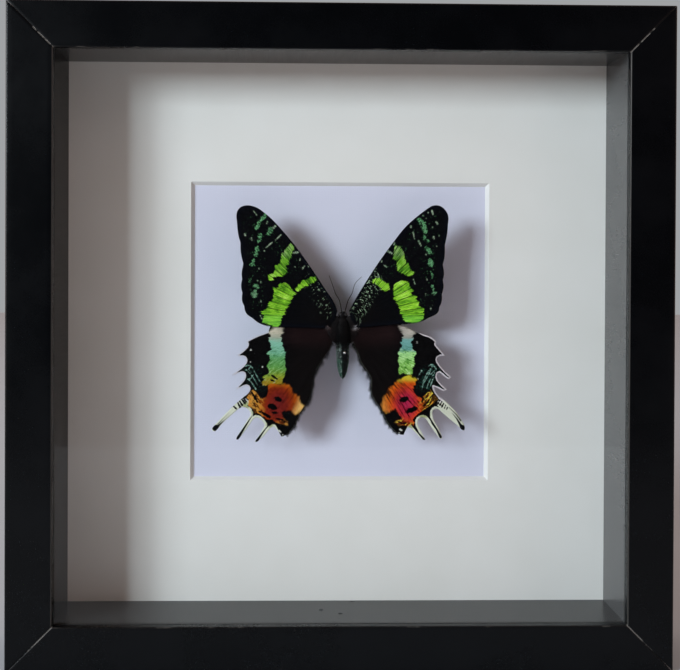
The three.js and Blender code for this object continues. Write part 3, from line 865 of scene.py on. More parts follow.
HINDWING_MARKS = {
    "left": {
        "base": (-4.2, 0.2),
        "fan_middle": (-25.2, -27),
        "band": [
            [(-28.7, 0.6), (-28, 2.2), (-26.5, 3.3), (-23.1, 3.3), (-23.5, 1.1), (-24.1, -0.8), (-24, -3),
             (-23.3, -5.5), (-22.2, -6.7), (-22.6, -8.2), (-22.8, -11.1), (-22.5, -13.6), (-22.7, -16),
             (-23.3, -19), (-24.5, -19.9), (-28.4, -19.4), (-29.4, -19.6), (-31.2, -19.2),
             (-31.6, -18.7), (-30.5, -17.3), (-30.9, -16.6), (-30.6, -16), (-28.7, -16), (-28.8, -14.1),
             (-29.5, -12.6), (-28.4, -9.4), (-29.4, -7.7), (-28, -5.7), (-27.7, -4), (-28.9, -2.5),
             (-28.5, -1.6)],
        ],
        "fan": [
            [(-29.1, -19.9), (-28.4, -19.2), (-24.5, -19.7), (-22.5, -19.2), (-21, -19.9), (-19.8, -21.4),
             (-19.1, -22.9), (-17.8, -23.4), (-16.9, -24.6), (-16.4, -26.3), (-14.9, -27.8),
             (-15.6, -29.5), (-17.1, -31), (-18.1, -31.5), (-19.3, -31.2), (-20.5, -29.5), (-22, -29.5),
             (-23.8, -30.2), (-23.2, -32.7), (-21.5, -33.9), (-21.2, -35.6), (-23.4, -35.1),
             (-25.9, -34.2), (-28.3, -33.2), (-30.3, -32), (-32.3, -31.2), (-34.2, -30.7), (-35, -29.5),
             (-36.2, -27.8), (-37.4, -26.3), (-37.7, -24.9), (-36.7, -23.4), (-35.7, -21.9),
             (-34.3, -21.9), (-33.3, -22.9), (-32.3, -24.9), (-30.8, -25.1), (-29.4, -23.9),
             (-28.9, -21.9)],
        ],
        "spots": [
            (-25.2, -25.2, 1.76, 0.93, -25), (-27.4, -28.2, 2.15, 1.08, -20),
            (-26.4, -30.5, 1.37, 0.49, -5), (-29.6, -31.5, 2.05, 0.68, -30),
            (-24.4, -33.1, 1.66, 0.44, -10), (-32, -30.1, 0.78, 0.44, 0),
            (-22.5, -34.2, 0.98, 0.29, -20),
        ],
        "black": [
            (0.29, [(-37.7, -26.8), (-36.7, -28.5), (-35, -30.5)]),
            (0.29, [(-35.5, -22.5), (-34.1, -25.2)]),
            (0.29, [(-32.3, -31.5), (-30.3, -33.7), (-27.8, -35.1)]),
            (0.29, [(-34.2, -23.9), (-33.3, -26.3)]), (0.3, [(-27.6, -16), (-25.6, -17.4)]),
            (0.25, [(-27.9, -17.8), (-26.6, -18.2)]),
        ],
        "net": [
            (0.2, [(-38.1, -12.4), (-37, -11.9), (-35.9, -12.3), (-35, -13.3), (-34.3, -14.8), (-33.1, -17),
                   (-31.9, -19)]),
            (0.2, [(-37.7, -13.7), (-37, -14.3), (-35.8, -15.5), (-34.8, -17)]),
            (0.2, [(-35.9, -12.3), (-36.7, -13.6), (-35.7, -14.7)]),
            (0.2, [(-37, -17.3), (-35.5, -18.7), (-33.9, -21.2)]),
            (0.2, [(-35.5, -15.9), (-34.4, -17.6), (-33.3, -19.6)]),
            (0.2, [(-34.8, -15.5), (-35.7, -17), (-36.7, -17.6)]),
        ],
        "dots": [(0.3, [(-35.9, -5.6), (-35.9, -6)]), (0.36, [(-31.3, -12.5), (-31.3, -12.7)]),
                 (0.2, [(-36, -10.6), (-36, -10.9)]), (0.2, [(-32, -11.7), (-32, -11.8)]),
                 (0.45, [(-25, -37.5), (-24.2, -38)]), (0.3, [(-23.6, -38.8), (-23.4, -39.1)])],
        "bars": [
            (0.2, [(-42.6, -27.9), (-41.5, -28.9)]), (0.2, [(-41, -26.4), (-40, -28.4)]),
            (0.2, [(-40.3, -25.8), (-39.1, -27.6)]), (0.2, [(-39.5, -25.1), (-38.1, -26.9)]),
            (0.2, [(-38.8, -24.6), (-37.5, -26.3)]), (0.2, [(-38.1, -24.3), (-36.9, -25.4)]),
        ],
        "tails": [
            [(0.03, -43, -30.3), (0.1, -45.9, -33.2), (0.3, -48.2, -35.5), (1.35, -49.5, -36.4)],
            [(0.05, -44.2, -30.6), (0.1, -46.6, -32.9), (0.2, -48.6, -35)],
            [(0.08, -34.6, -30.8), (0.22, -36.4, -33.4), (0.4, -38.6, -36.9), (0.6, -40.9, -40.6)],
            [(0.08, -28.8, -35.2), (0.24, -30.8, -37.8), (0.55, -33.4, -41.6)],
        ],
        "cream": [(1.9, [(-38.6, -26.4), (-43, -30.4), (-47.5, -34.8)])],
        "roots": [(-34, -30.2), (-28.4, -34.8), (-37.6, -27.6)],
        "outer": [(-28.9, 0.7), (-33, -0.7), (-37.1, -2.7), (-36.8, -4.4), (-41, -8.3), (-37.3, -10.1),
                  (-43.2, -15.9), (-37.8, -15.6), (-41.5, -21.3), (-36.1, -20.5), (-37.7, -23.6)],
    },
    "right": {
        "base": (4.2, 0.2),
        "fan_middle": (24.9, -26.6),
        "band": [
            [(21.8, 3.5), (24.5, 3.1), (26.5, 2.4), (28.7, 1), (27.6, -0.4), (27.1, -2.2), (26.8, -2.9),
             (27, -5.3), (28.5, -7.1), (28.3, -8), (27.5, -9.3), (28, -10.5), (28.8, -11.5),
             (28, -12.2), (27.1, -13), (27.2, -15.2), (26.1, -15.8), (25.3, -15.4), (23.6, -14.7),
             (22.1, -15.4), (21.9, -14), (22.4, -12.5), (21.9, -10.5), (21.6, -7.6), (22.3, -5.9),
             (23.1, -5.4), (22.8, -2.2), (23.6, -1.4), (23.3, 0.3)],
        ],
        "fan": [
            [(22.6, -17.4), (24.1, -16.5), (26.1, -15.7), (27.8, -16.9), (29.3, -17.6), (28.3, -19.1),
             (27.5, -20.3), (27.5, -22.3), (28.8, -24), (31.1, -25), (32, -23.8), (33.3, -22.5),
             (34.5, -21.8), (36.5, -23.8), (37.6, -25.2), (36.5, -26.7), (33.5, -28.7), (32.6, -30.2),
             (29.6, -31.6), (27.7, -33.1), (28.2, -34.1), (27.2, -35.6), (25.7, -35.6), (24.2, -35.1),
             (22.7, -35.6), (21.3, -35.1), (20.5, -34.1), (21.7, -33.1), (23.2, -33.4), (23.7, -32.6),
             (21.7, -30.2), (20.7, -29), (18.8, -29.7), (16.8, -30.9), (15.6, -29.7), (15.1, -27.7),
             (15.3, -26.3), (16, -24.3), (17.8, -21.8), (19.2, -19.9), (21.2, -18.4)],
        ],
        "spots": [(24.1, -25.2, 1.86, 1.12, 10), (27.1, -29.4, 2.45, 1.08, 20)],
        "black": [
            (0.58, [(38.2, -25.3), (36.5, -27), (33.5, -29.1), (31.1, -30.7), (29.1, -32.2),
                    (28.2, -33.4)]),
            (0.24, [(36, -22.9), (34.3, -24.5), (33.4, -26.3), (31.6, -27.8)]),
            (0.24, [(31.6, -24.5), (31.1, -26.2)]), (0.24, [(24.7, -34.5), (23.2, -34.7), (22, -34)]),
        ],
        "net": [
            (0.2, [(31, -21.3), (31.5, -19.1), (32.6, -17.1), (33.7, -15.4), (34.9, -12.2)]),
            (0.2, [(32.9, -20.8), (33.7, -18.4), (35.9, -14.9)]), (0.2, [(29.6, -16), (31, -13.8)]),
            (0.2, [(31.4, -18.4), (32.5, -15.9), (34.3, -13)]),
            (0.2, [(33.5, -12.2), (34.9, -11.4), (36.5, -12.9)]),
            (0.2, [(34.3, -20.1), (35.2, -17.4), (35.9, -16.5)]), (0.2, [(34.5, -15.4), (36.4, -13.4)]),
        ],
        "dots": [(0.28, [(29, -2.7), (29, -3.1)]), (0.3, [(22.4, -37), (23.2, -37.4)]),
                 (0.3, [(22.2, -38.3), (22.4, -38.5)]), (0.25, [(29.4, -17), (29.6, -17.4)])],
        "bars": [
            (0.17, [(38, -25.6), (37.3, -26.9)]), (0.17, [(38.8, -26.2), (38.1, -27.5)]),
            (0.17, [(39.6, -26.8), (38.8, -28.2)]), (0.15, [(40.4, -27.5), (39.9, -28.7)]),
            (0.13, [(41.1, -28.3), (40.6, -29.3)]),
        ],
        "tails": [
            [(0.1, 42.8, -30.4), (0.26, 44.9, -32.9), (0.5, 46.3, -35.3), (1.15, 47.1, -36.3)],
            [(0.12, 41.6, -28.2), (0.2, 44.6, -31.2), (0.25, 46.4, -33.6)],
            [(0.2, 33.6, -31.5), (0.3, 34.8, -33.6), (0.35, 37, -37.1), (0.5, 38.5, -40)],
            [(0.2, 27.2, -35.4), (0.25, 29.2, -37.8), (0.4, 32, -40.9)],
        ],
        "cream": [(1.85, [(39, -26.8), (43, -31.2), (46, -35)])],
        "roots": [(33, -31), (27, -35.2), (31.4, -31.4)],
        "outer": [(30.9, 0.4), (34.3, -0.8), (36.5, -2.5), (36.2, -3.6), (40, -8.1), (36.7, -9.4),
                  (42.5, -16.6), (36.8, -15.7), (40.8, -21.4), (35.5, -20.1), (37.9, -24.3)],
    },
}


def wing_outline(node):
    """The front edge of a flat CAD wing, in order, as X and Z in millimetres from the moth's middle"""
    # in whole thousandths of a millimetre, so that shared corners match
    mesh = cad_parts[node].data
    spots = [tuple(round(c * 1e6) for c in vertex.co) for vertex in mesh.vertices]
    front = min(spot[1] for spot in spots)
    edges = set()
    for face in mesh.polygons:
        corners = [(spots[i][0], spots[i][2]) for i in face.vertices if spots[i][1] <= front + 20]
        if len(corners) < 3:
            continue
        for a, b in zip(corners, corners[1:] + corners[:1]):
            if (b, a) in edges:
                edges.remove((b, a))
            else:
                edges.add((a, b))
    follow = dict(edges)
    start = min(follow)
    loop = [start]
    while follow[loop[-1]] != start:
        loop.append(follow[loop[-1]])
    return np.array(loop, float) / 1000 - (MOTH_X, MOTH_Z)


def bend(p0, p1, p2, p3, pieces):
    """Points on the smooth curve from p1 to just before p2, with p0 and p3 as their neighbours"""
    return [0.5 * (2 * p1 + (p2 - p0) * t + (2 * p0 - 5 * p1 + 4 * p2 - p3) * t ** 2
                   + (3 * p1 - p0 - 3 * p2 + p3) * t ** 3) for t in np.arange(pieces) / pieces]


def eased(loop, step, corner=40):
    """Rounds the facets of a closed outline, keeps its sharp corners, and spaces points a step apart"""
    before, after = np.roll(loop, 1, 0), np.roll(loop, -1, 0)
    inward, onward = loop - before, after - loop
    turn = np.abs(np.degrees(np.arctan2(
        inward[:, 0] * onward[:, 1] - inward[:, 1] * onward[:, 0], (inward * onward).sum(1))))
    result = []
    count = len(loop)
    for i in range(count):
        p1, p2 = loop[i], loop[(i + 1) % count]
        p0 = 2 * p1 - p2 if turn[i] > corner else loop[i - 1]
        p3 = 2 * p2 - p1 if turn[(i + 1) % count] > corner else loop[(i + 2) % count]
        pieces = max(1, round(np.linalg.norm(p2 - p1) / step))
        result += bend(p0, p1, p2, p3, pieces)
    return np.array(result)


def to_line(points, line, closed=False):
    """Distance of each point from a line of straight runs"""
    line = np.asarray(line, float)
    ends = np.roll(line, -1, 0) if closed else line[1:]
    starts = line if closed else line[:-1]
    best = np.full(len(points), 1e9)
    for a, b in zip(starts, ends):
        run = b - a
        length = max((run ** 2).sum(), 1e-12)
        t = np.clip(((points - a) @ run) / length, 0, 1)
        best = np.minimum(best, np.linalg.norm(points - a - t[:, None] * run, axis=1))
    return best


def is_inside(points, loop):
    """Whether each point lies inside a closed loop"""
    loop = np.asarray(loop, float)
    inside = np.zeros(len(points), bool)
    x, y = points.T
    for (x1, y1), (x2, y2) in zip(loop, np.roll(loop, -1, 0)):
        if y1 == y2:
            continue
        crosses = ((y1 > y) != (y2 > y)) & (x < (x2 - x1) * (y - y1) / (y2 - y1) + x1)
        inside ^= crosses
    return inside


def within(points, loops):
    """Signed distance to patches, positive inside"""
    depths = []
    for loop in loops:
        away = to_line(points, loop, closed=True)
        depths.append(np.where(is_inside(points, loop), away, -away))
    return np.max(depths, axis=0)


def along_strokes(points, strokes, broader=1.0):
    """Signed distance to strokes of a given half width, positive inside"""
    return np.max([width * broader - to_line(points, line) for width, line in strokes], axis=0)


def in_ovals(points, ovals):
    """Signed distance to slanted ovals, positive inside"""
    depths = []
    for x, z, long, wide, degrees in ovals:
        a = math.radians(degrees)
        away = points - (x, z)
        p = (away[:, 0] * math.cos(a) + away[:, 1] * math.sin(a)) / long
        q = (-away[:, 0] * math.sin(a) + away[:, 1] * math.cos(a)) / wide
        depths.append((1 - np.hypot(p, q)) * wide)
    return np.max(depths, axis=0)


def on_shafts(points, tails):
    """Signed distance to the dark tail shafts, whose half width grows from one point to the next"""
    depths = []
    for tail in tails:
        for (w1, x1, z1), (w2, x2, z2) in zip(tail, tail[1:]):
            a, run = np.array((x1, z1)), np.array((x2 - x1, z2 - z1))
            t = np.clip(((points - a) @ run) / (run ** 2).sum(), 0, 1)
            away = np.linalg.norm(points - a - t[:, None] * run, axis=1)
            depths.append(w1 + (w2 - w1) * t - away)
    return np.max(depths, axis=0)


def smooth_step(x, low, high):
    """From 0 to 1 while x goes from low to high, with soft ends"""
    t = np.clip((x - low) / (high - low), 0, 1)
    return t * t * (3 - 2 * t)


def outward(edge):
    """The direction out of a closed outline at each of its points"""
    run = np.roll(edge, -2, 0) - np.roll(edge, 2, 0)
    out = np.column_stack([run[:, 1], -run[:, 0]]) / np.maximum(np.hypot(*run.T), 1e-9)[:, None]
    return -out if is_inside(edge[:1] + out[:1] * 0.05, edge)[0] else out


def scalloped(edge):
    """Shallow scallops along the forewing's outer rim, a vein at each point"""
    side = np.sign(edge[:, 0].mean())
    ray, _ = fan_out(edge, FOREWING_MARKS["left" if side < 0 else "right"]["base"], side)
    rim = smooth_step(edge[:, 0] * side, 31, 34) * smooth_step(edge[:, 1], 46, 42)
    depth = SCALLOP_DEPTH * (1 - np.abs(np.sin(math.pi * ray / SCALLOP_STEP))) * rim
    return edge - outward(edge) * depth[:, None]


def wing_sheet(node, step):
    """Fine triangles over a wing: points and faces, the outline's points first"""
    edge = eased(wing_outline(node), step)
    if node.startswith("fore"):
        edge = scalloped(edge)
    low, high = edge.min(0), edge.max(0)
    rows = np.arange(low[1], high[1], step * math.sqrt(0.75))
    grid = []
    for i, z in enumerate(rows):
        xs = np.arange(low[0] + (i % 2) * step / 2, high[0], step)
        grid.append(np.column_stack([xs, np.full(len(xs), z)]))
    grid = np.concatenate(grid)
    grid = grid[is_inside(grid, edge)]
    grid = grid[to_line(grid, edge, closed=True) > step * 0.55]
    points = np.concatenate([edge, grid])
    count = len(edge)
    rim = [(i, (i + 1) % count) for i in range(count)]
    flat = delaunay_2d_cdt([Vector(p) for p in points], rim, [list(range(count))], 1, 1e-6)
    assert len(flat[0]) == len(points)
    return points, count, [tuple(face) for face in flat[2]]


def fan_out(points, base, side):
    """The angle and the distance of each point, seen from the wing's base"""
    away = points - base
    return np.arctan2(away[:, 1], away[:, 0] * side), np.hypot(*away.T)


def build_wing(node, depth, relief, numbers, material, step):
    """A closed thin wing with veins and pleats in relief and its marking distances as attributes"""
    points, count, faces = wing_sheet(node, step)
    margin = to_line(points, points[:count], closed=True)
    fields = {"margin": margin, **numbers(points)}
    lift = relief(fields)
    half = 0.02 + 0.05 * smooth_step(margin, 0, 0.5)
    total = len(points)
    x, z = points[:, 0] + MOTH_X, points[:, 1] + MOTH_Z
    front = np.column_stack([x, depth + lift - half, z])
    back = np.column_stack([x, depth + lift + half, z])
    solid = list(faces)
    solid += [tuple(total + i for i in reversed(face)) for face in faces]
    solid += [(i, (i + 1) % count, total + (i + 1) % count, total + i) for i in range(count)]
    mesh = mesh_from(node + "_scaled", np.concatenate([front, back]), solid)
    for label, values in fields.items():
        put_numbers(mesh, label, np.concatenate([values, values]))
    add_piece(node + "_scaled", mesh, [material], "wing_scales", node)
    return points, count, faces, fields, lift


def forewing_numbers(side, marks):
    def numbers(points):
        ray, reach = fan_out(points, marks["base"], side)
        return {
            "ray": ray,
            "reach": reach,
            "costa": to_line(points, marks["costa"]),
            "green": within(points, marks["green"]),
            "teal": along_strokes(points, marks["teal"]),
            "pale": along_strokes(points, marks["pale"], 0.8),
        }
    return numbers


def forewing_relief(fields):
    """Pleats and veins that fan out from the base, a stiff front edge and a faint curl at the rim"""
    ray, reach = fields["ray"], fields["reach"]
    grown = smooth_step(reach, 3, 16)
    phase = ray / VEIN_STEP * 2 * math.pi
    pleat = 0.0016 * reach * np.cos(phase) * grown
    vein = -0.05 * np.exp(-((np.cos(phase / 2)) ** 2) * 60) * grown
    front_edge = -0.16 * np.exp(-(fields["costa"] / 0.7) ** 2)
    curl = 0.16 * np.sin(ray * 5.2 + reach * 0.09) * smooth_step(reach, 8, 45)
    return pleat + vein + front_edge + curl - FOREWING_CURL * smooth_step(reach, 12, 50)


def hindwing_numbers(side, marks):
    def numbers(points):
        ray, reach = fan_out(points, marks["base"], side)
        outer = to_line(points, marks["outer"])
        core = points - marks["fan_middle"]
        tail_side = smooth_step(-points[:, 1], 23.5, 25.5) * smooth_step(points[:, 0] * side, 24.5, 26.5)
        teeth = smooth_step(points[:, 0] * side, 29, 31) * (0.46 if side > 0 else 0.1)
        fringe = np.maximum(0.95 * tail_side, teeth * smooth_step(-points[:, 1], -2, 0.5))
        root = np.min([np.hypot(*(points - spot).T) for spot in marks["roots"]], axis=0)
        inner = smooth_step(points[:, 0] * side, 24, 17) * smooth_step(-points[:, 1], 33, 26)
        return {
            "ray": ray,
            "reach": reach,
            "outer": outer,
            "drop": -points[:, 1],
            "core_x": core[:, 0] * side,
            "core_z": core[:, 1],
            "band": within(points, marks["band"]),
            "fan": within(points, marks["fan"]),
            "spots": in_ovals(points, marks["spots"]),
            "black": along_strokes(points, marks["black"], 1.35),
            "net": along_strokes(points, marks["net"], 0.66),
            "dots": along_strokes(points, marks["dots"], 0.7),
            "bars": along_strokes(points, marks["bars"], 1.75),
            "shaft": on_shafts(points, marks["tails"]),
            "cream": along_strokes(points, marks["cream"]),
            "fringe": fringe,
            "root": root,
            "inner": inner,
        }
    return numbers


def hindwing_relief(fields):
    """Pleats and veins that fan out from the base, and a faint curl"""
    ray, reach = fields["ray"], fields["reach"]
    grown = smooth_step(reach, 4, 18) * smooth_step(fields["margin"], 0, 1.2)
    phase = ray / HINDWING_VEIN_STEP * 2 * math.pi
    pleat = 0.0022 * reach * np.cos(phase) * grown
    vein = -0.04 * np.exp(-((np.cos(phase / 2)) ** 2) * 60) * grown
    curl = 0.2 * np.sin(ray * 3.1 + reach * 0.08) * smooth_step(reach, 8, 40)
    return pleat + vein + curl - HINDWING_CURL * smooth_step(fields["outer"], 16, 2)


class WingSurface(Surface):
    """A wing's material, which follows the fan of the veins; shift keeps one wing's noise off another's"""

    def __init__(self, name, shift):
        super().__init__(name, Specular_IOR_Level=0.015)
        self.shift = shift
        self.ray = self.attribute("ray")
        self.reach = self.attribute("reach")
        self.rows = self.group(SCALE_ROWS, {"Ray": self.ray, "Reach": self.reach})
        self.relief(self.rows["Height"], 0.05, 0.25)

    def grain(self, across, along, shift, detail=3.0):
        """Noise that follows the veins; across counts per radian and along per millimetre"""
        place = self.xyz(self.ray * across, self.reach * along, self.shift + shift)
        return self.noise(place, 1.0, detail, 0.7)

    def ragged(self, name, fray, soft, shift, jag=0.0):
        """A marking's mask from its distance attribute"""
        inputs = {"Inside": self.attribute(name), "Ray": self.ray, "Reach": self.reach, "Fray": fray,
                  "Soft": soft, "Shift": self.shift + shift, "Jag": jag}
        return self.group(RAGGED, inputs)[0]


def make_forewing_scales(name, shift, rib, crowded):
    """Blue-black scales, leaf-green bands ribbed by the veins, teal dashes and pale flecks"""
    b = WingSurface(name, shift)
    height = b.split(b.place)[2]
    black = b.mix(b.rows["Glint"], (0.0014, 0.0016, 0.0022, 1), (0.0034, 0.0036, 0.0048, 1))
    black = b.mix(b.step(b.reach, 17.0, 5.0, 0.0, 0.6), black, (0.0042, 0.0036, 0.0036, 1))
    rim = b.step(b.attribute("margin"), 2.4, 0.2, 0.0, 0.7)
    black = b.mix(rim, black, (0.0026, 0.0034, 0.0064, 1))
    # bands
    cell = b.math("FLOOR", b.ray / VEIN_STEP + 0.5)
    pick = b.draw(cell + shift)
    streak = b.grain(105.0, 0.2, 0)
    cloud = b.noise(b.place, 0.22, 3.0, 0.6)
    tone = streak * 0.68 + pick * 0.08 + cloud * 0.32
    stops = [(0.4, rgb(22, 58, 12)), (0.47, rgb(72, 132, 28)), (0.54, rgb(118, 186, 42)),
             (0.62, rgb(168, 228, 60)), (0.7, rgb(214, 244, 152))]
    leaf = b.ramp(tone, stops)
    groove = abs(b.math("COSINE", b.ray * (math.pi / VEIN_STEP)))
    uneven = b.step(b.grain(8.0, 0.3, 9), 0.3, 0.6, rib * 0.55, rib)
    leaf = b.mix(b.step(groove, 0.36, 0.1) * uneven, leaf, rgb(26, 58, 12))
    upper = b.step(height, MOTH_Z + 20.5, MOTH_Z + 26.0)
    leaf = b.darker(upper * 0.8, leaf, rgb(196, 208, 236))
    grey_tip = b.step(height, MOTH_Z + 29.0, MOTH_Z + 33.0) * b.step(streak, 0.42, 0.6, 0.0, 0.5)
    leaf = b.mix(grey_tip, leaf, rgb(176, 194, 150))
    low_end = b.step(height, MOTH_Z + 8.4, MOTH_Z + 6.6)
    leaf = b.mix(low_end * 0.45, leaf, rgb(112, 198, 74))
    # dashes and flecks
    broken = b.step(b.grain(40.0, 0.8, 3), 0.42, 0.47)
    teal = b.ragged("teal", 1.15, 0.1, 3, 1.0) * broken
    teal_grain = b.step(b.grain(90.0, 0.9, 12), 0.36, 0.62)
    teal_tone = b.mix(teal_grain, rgb(32, 76, 46), rgb(112, 174, 122))
    lower = b.step(height, MOTH_Z + 22.0, MOTH_Z + 12.0, 0.0, 0.6)
    teal_tone = b.mix(lower, teal_tone, b.mix(teal_grain, rgb(44, 66, 50), rgb(124, 146, 124)))
    torn = b.step(b.grain(60.0, 1.3, 4), 0.38, 0.5)
    pale = b.ragged("pale", 0.3, 0.14, 6) * torn
    pale_tone = b.mix(b.rows["Glint"], rgb(92, 126, 98), rgb(176, 190, 166))
    off_costa = b.attribute("costa")
    fleck_place = b.xyz(b.reach * 2.05, off_costa * 0.6, shift)
    flecks = b.noise(fleck_place, 1.0, 1.5, 0.6)
    costal = b.step(off_costa, 7.2, 4.4) * b.step(off_costa, 0.3, 0.7)
    costal = costal * (b.step(b.reach, 1.5, 4.0) * b.step(b.reach, 22.0, 17.0))
    flecks = b.step(flecks, 0.59 - crowded, 0.63 - crowded) * costal
    far = b.step(b.grain(38.0, 0.9, 2), 0.615, 0.675)
    far_zone = b.step(b.reach, 20.0, 26.0) * b.step(b.attribute("margin"), 1.8, 3.4)
    far_zone = far_zone * b.step(b.attribute("margin"), 10.0, 7.0)
    far = far * far_zone
    colour = b.mix(far * 0.5, black, rgb(84, 138, 92))
    bright = b.step(b.grain(36.0, 0.9, 11), 0.42, 0.6)
    fleck_tone = b.mix(bright, rgb(38, 78, 46), rgb(192, 212, 184))
    colour = b.mix(flecks * 0.92, colour, fleck_tone)
    colour = b.mix(b.ragged("green", 0.95, 0.12, 0, 0.7), colour, leaf)
    colour = b.mix(teal, colour, teal_tone)
    colour = b.mix(pale * 0.85, colour, pale_tone)
    b.set("Base Color", colour)
    b.set("Roughness", b.step(b.rows["Glint"], 0.0, 1.0, 0.66, 0.5))
    return b.material


# The band's colours from top to bottom, the fan's from its middle out, and how strong each small marking is
HINDWING_TONES = {
    "left": {
        "band": [(0.0, rgb(220, 206, 188)), (0.14, rgb(200, 192, 174)), (0.2, rgb(164, 170, 154)),
                 (0.27, rgb(138, 194, 172)), (0.42, rgb(124, 184, 158)), (0.52, rgb(98, 162, 104)),
                 (0.7, rgb(104, 160, 74)), (0.82, rgb(146, 160, 48)), (0.92, rgb(164, 128, 30))],
        "fan": [(0.0, rgb(112, 32, 32)), (0.3, rgb(118, 34, 26)), (0.48, rgb(136, 44, 18)),
                (0.64, rgb(176, 80, 18)), (0.8, rgb(196, 120, 46)), (0.98, rgb(222, 174, 104))],
        "top": rgb(176, 98, 20), "gold": rgb(196, 142, 60), "umber": rgb(66, 34, 12), "gilt": 0.46,
        "light": rgb(176, 214, 170), "strength": 0.6, "streaks": 0.4, "top_at": 22.6, "cream_end": 0.85,
        "web": 0.15, "spokes": 0.3,
    },
    "right": {
        "band": [(0.0, rgb(214, 200, 192)), (0.14, rgb(190, 182, 174)), (0.2, rgb(150, 152, 145)),
                 (0.235, rgb(120, 174, 170)), (0.4, rgb(100, 158, 152)), (0.43, rgb(170, 224, 150)),
                 (0.6, rgb(146, 206, 106)), (0.76, rgb(136, 192, 88)), (0.84, rgb(196, 196, 60))],
        "fan": [(0.0, rgb(164, 36, 78)), (0.25, rgb(186, 42, 66)), (0.42, rgb(202, 58, 42)),
                (0.57, rgb(210, 84, 24)), (0.78, rgb(218, 118, 28)), (0.98, rgb(230, 150, 52))],
        "top": rgb(204, 196, 52), "gold": rgb(218, 204, 76), "umber": rgb(22, 14, 8), "gilt": 0.51,
        "light": rgb(220, 246, 190), "strength": 1.0, "streaks": 1.0, "top_at": 20.6, "cream_end": 0.18,
        "web": 0.3, "spokes": 0.85,
    },
}


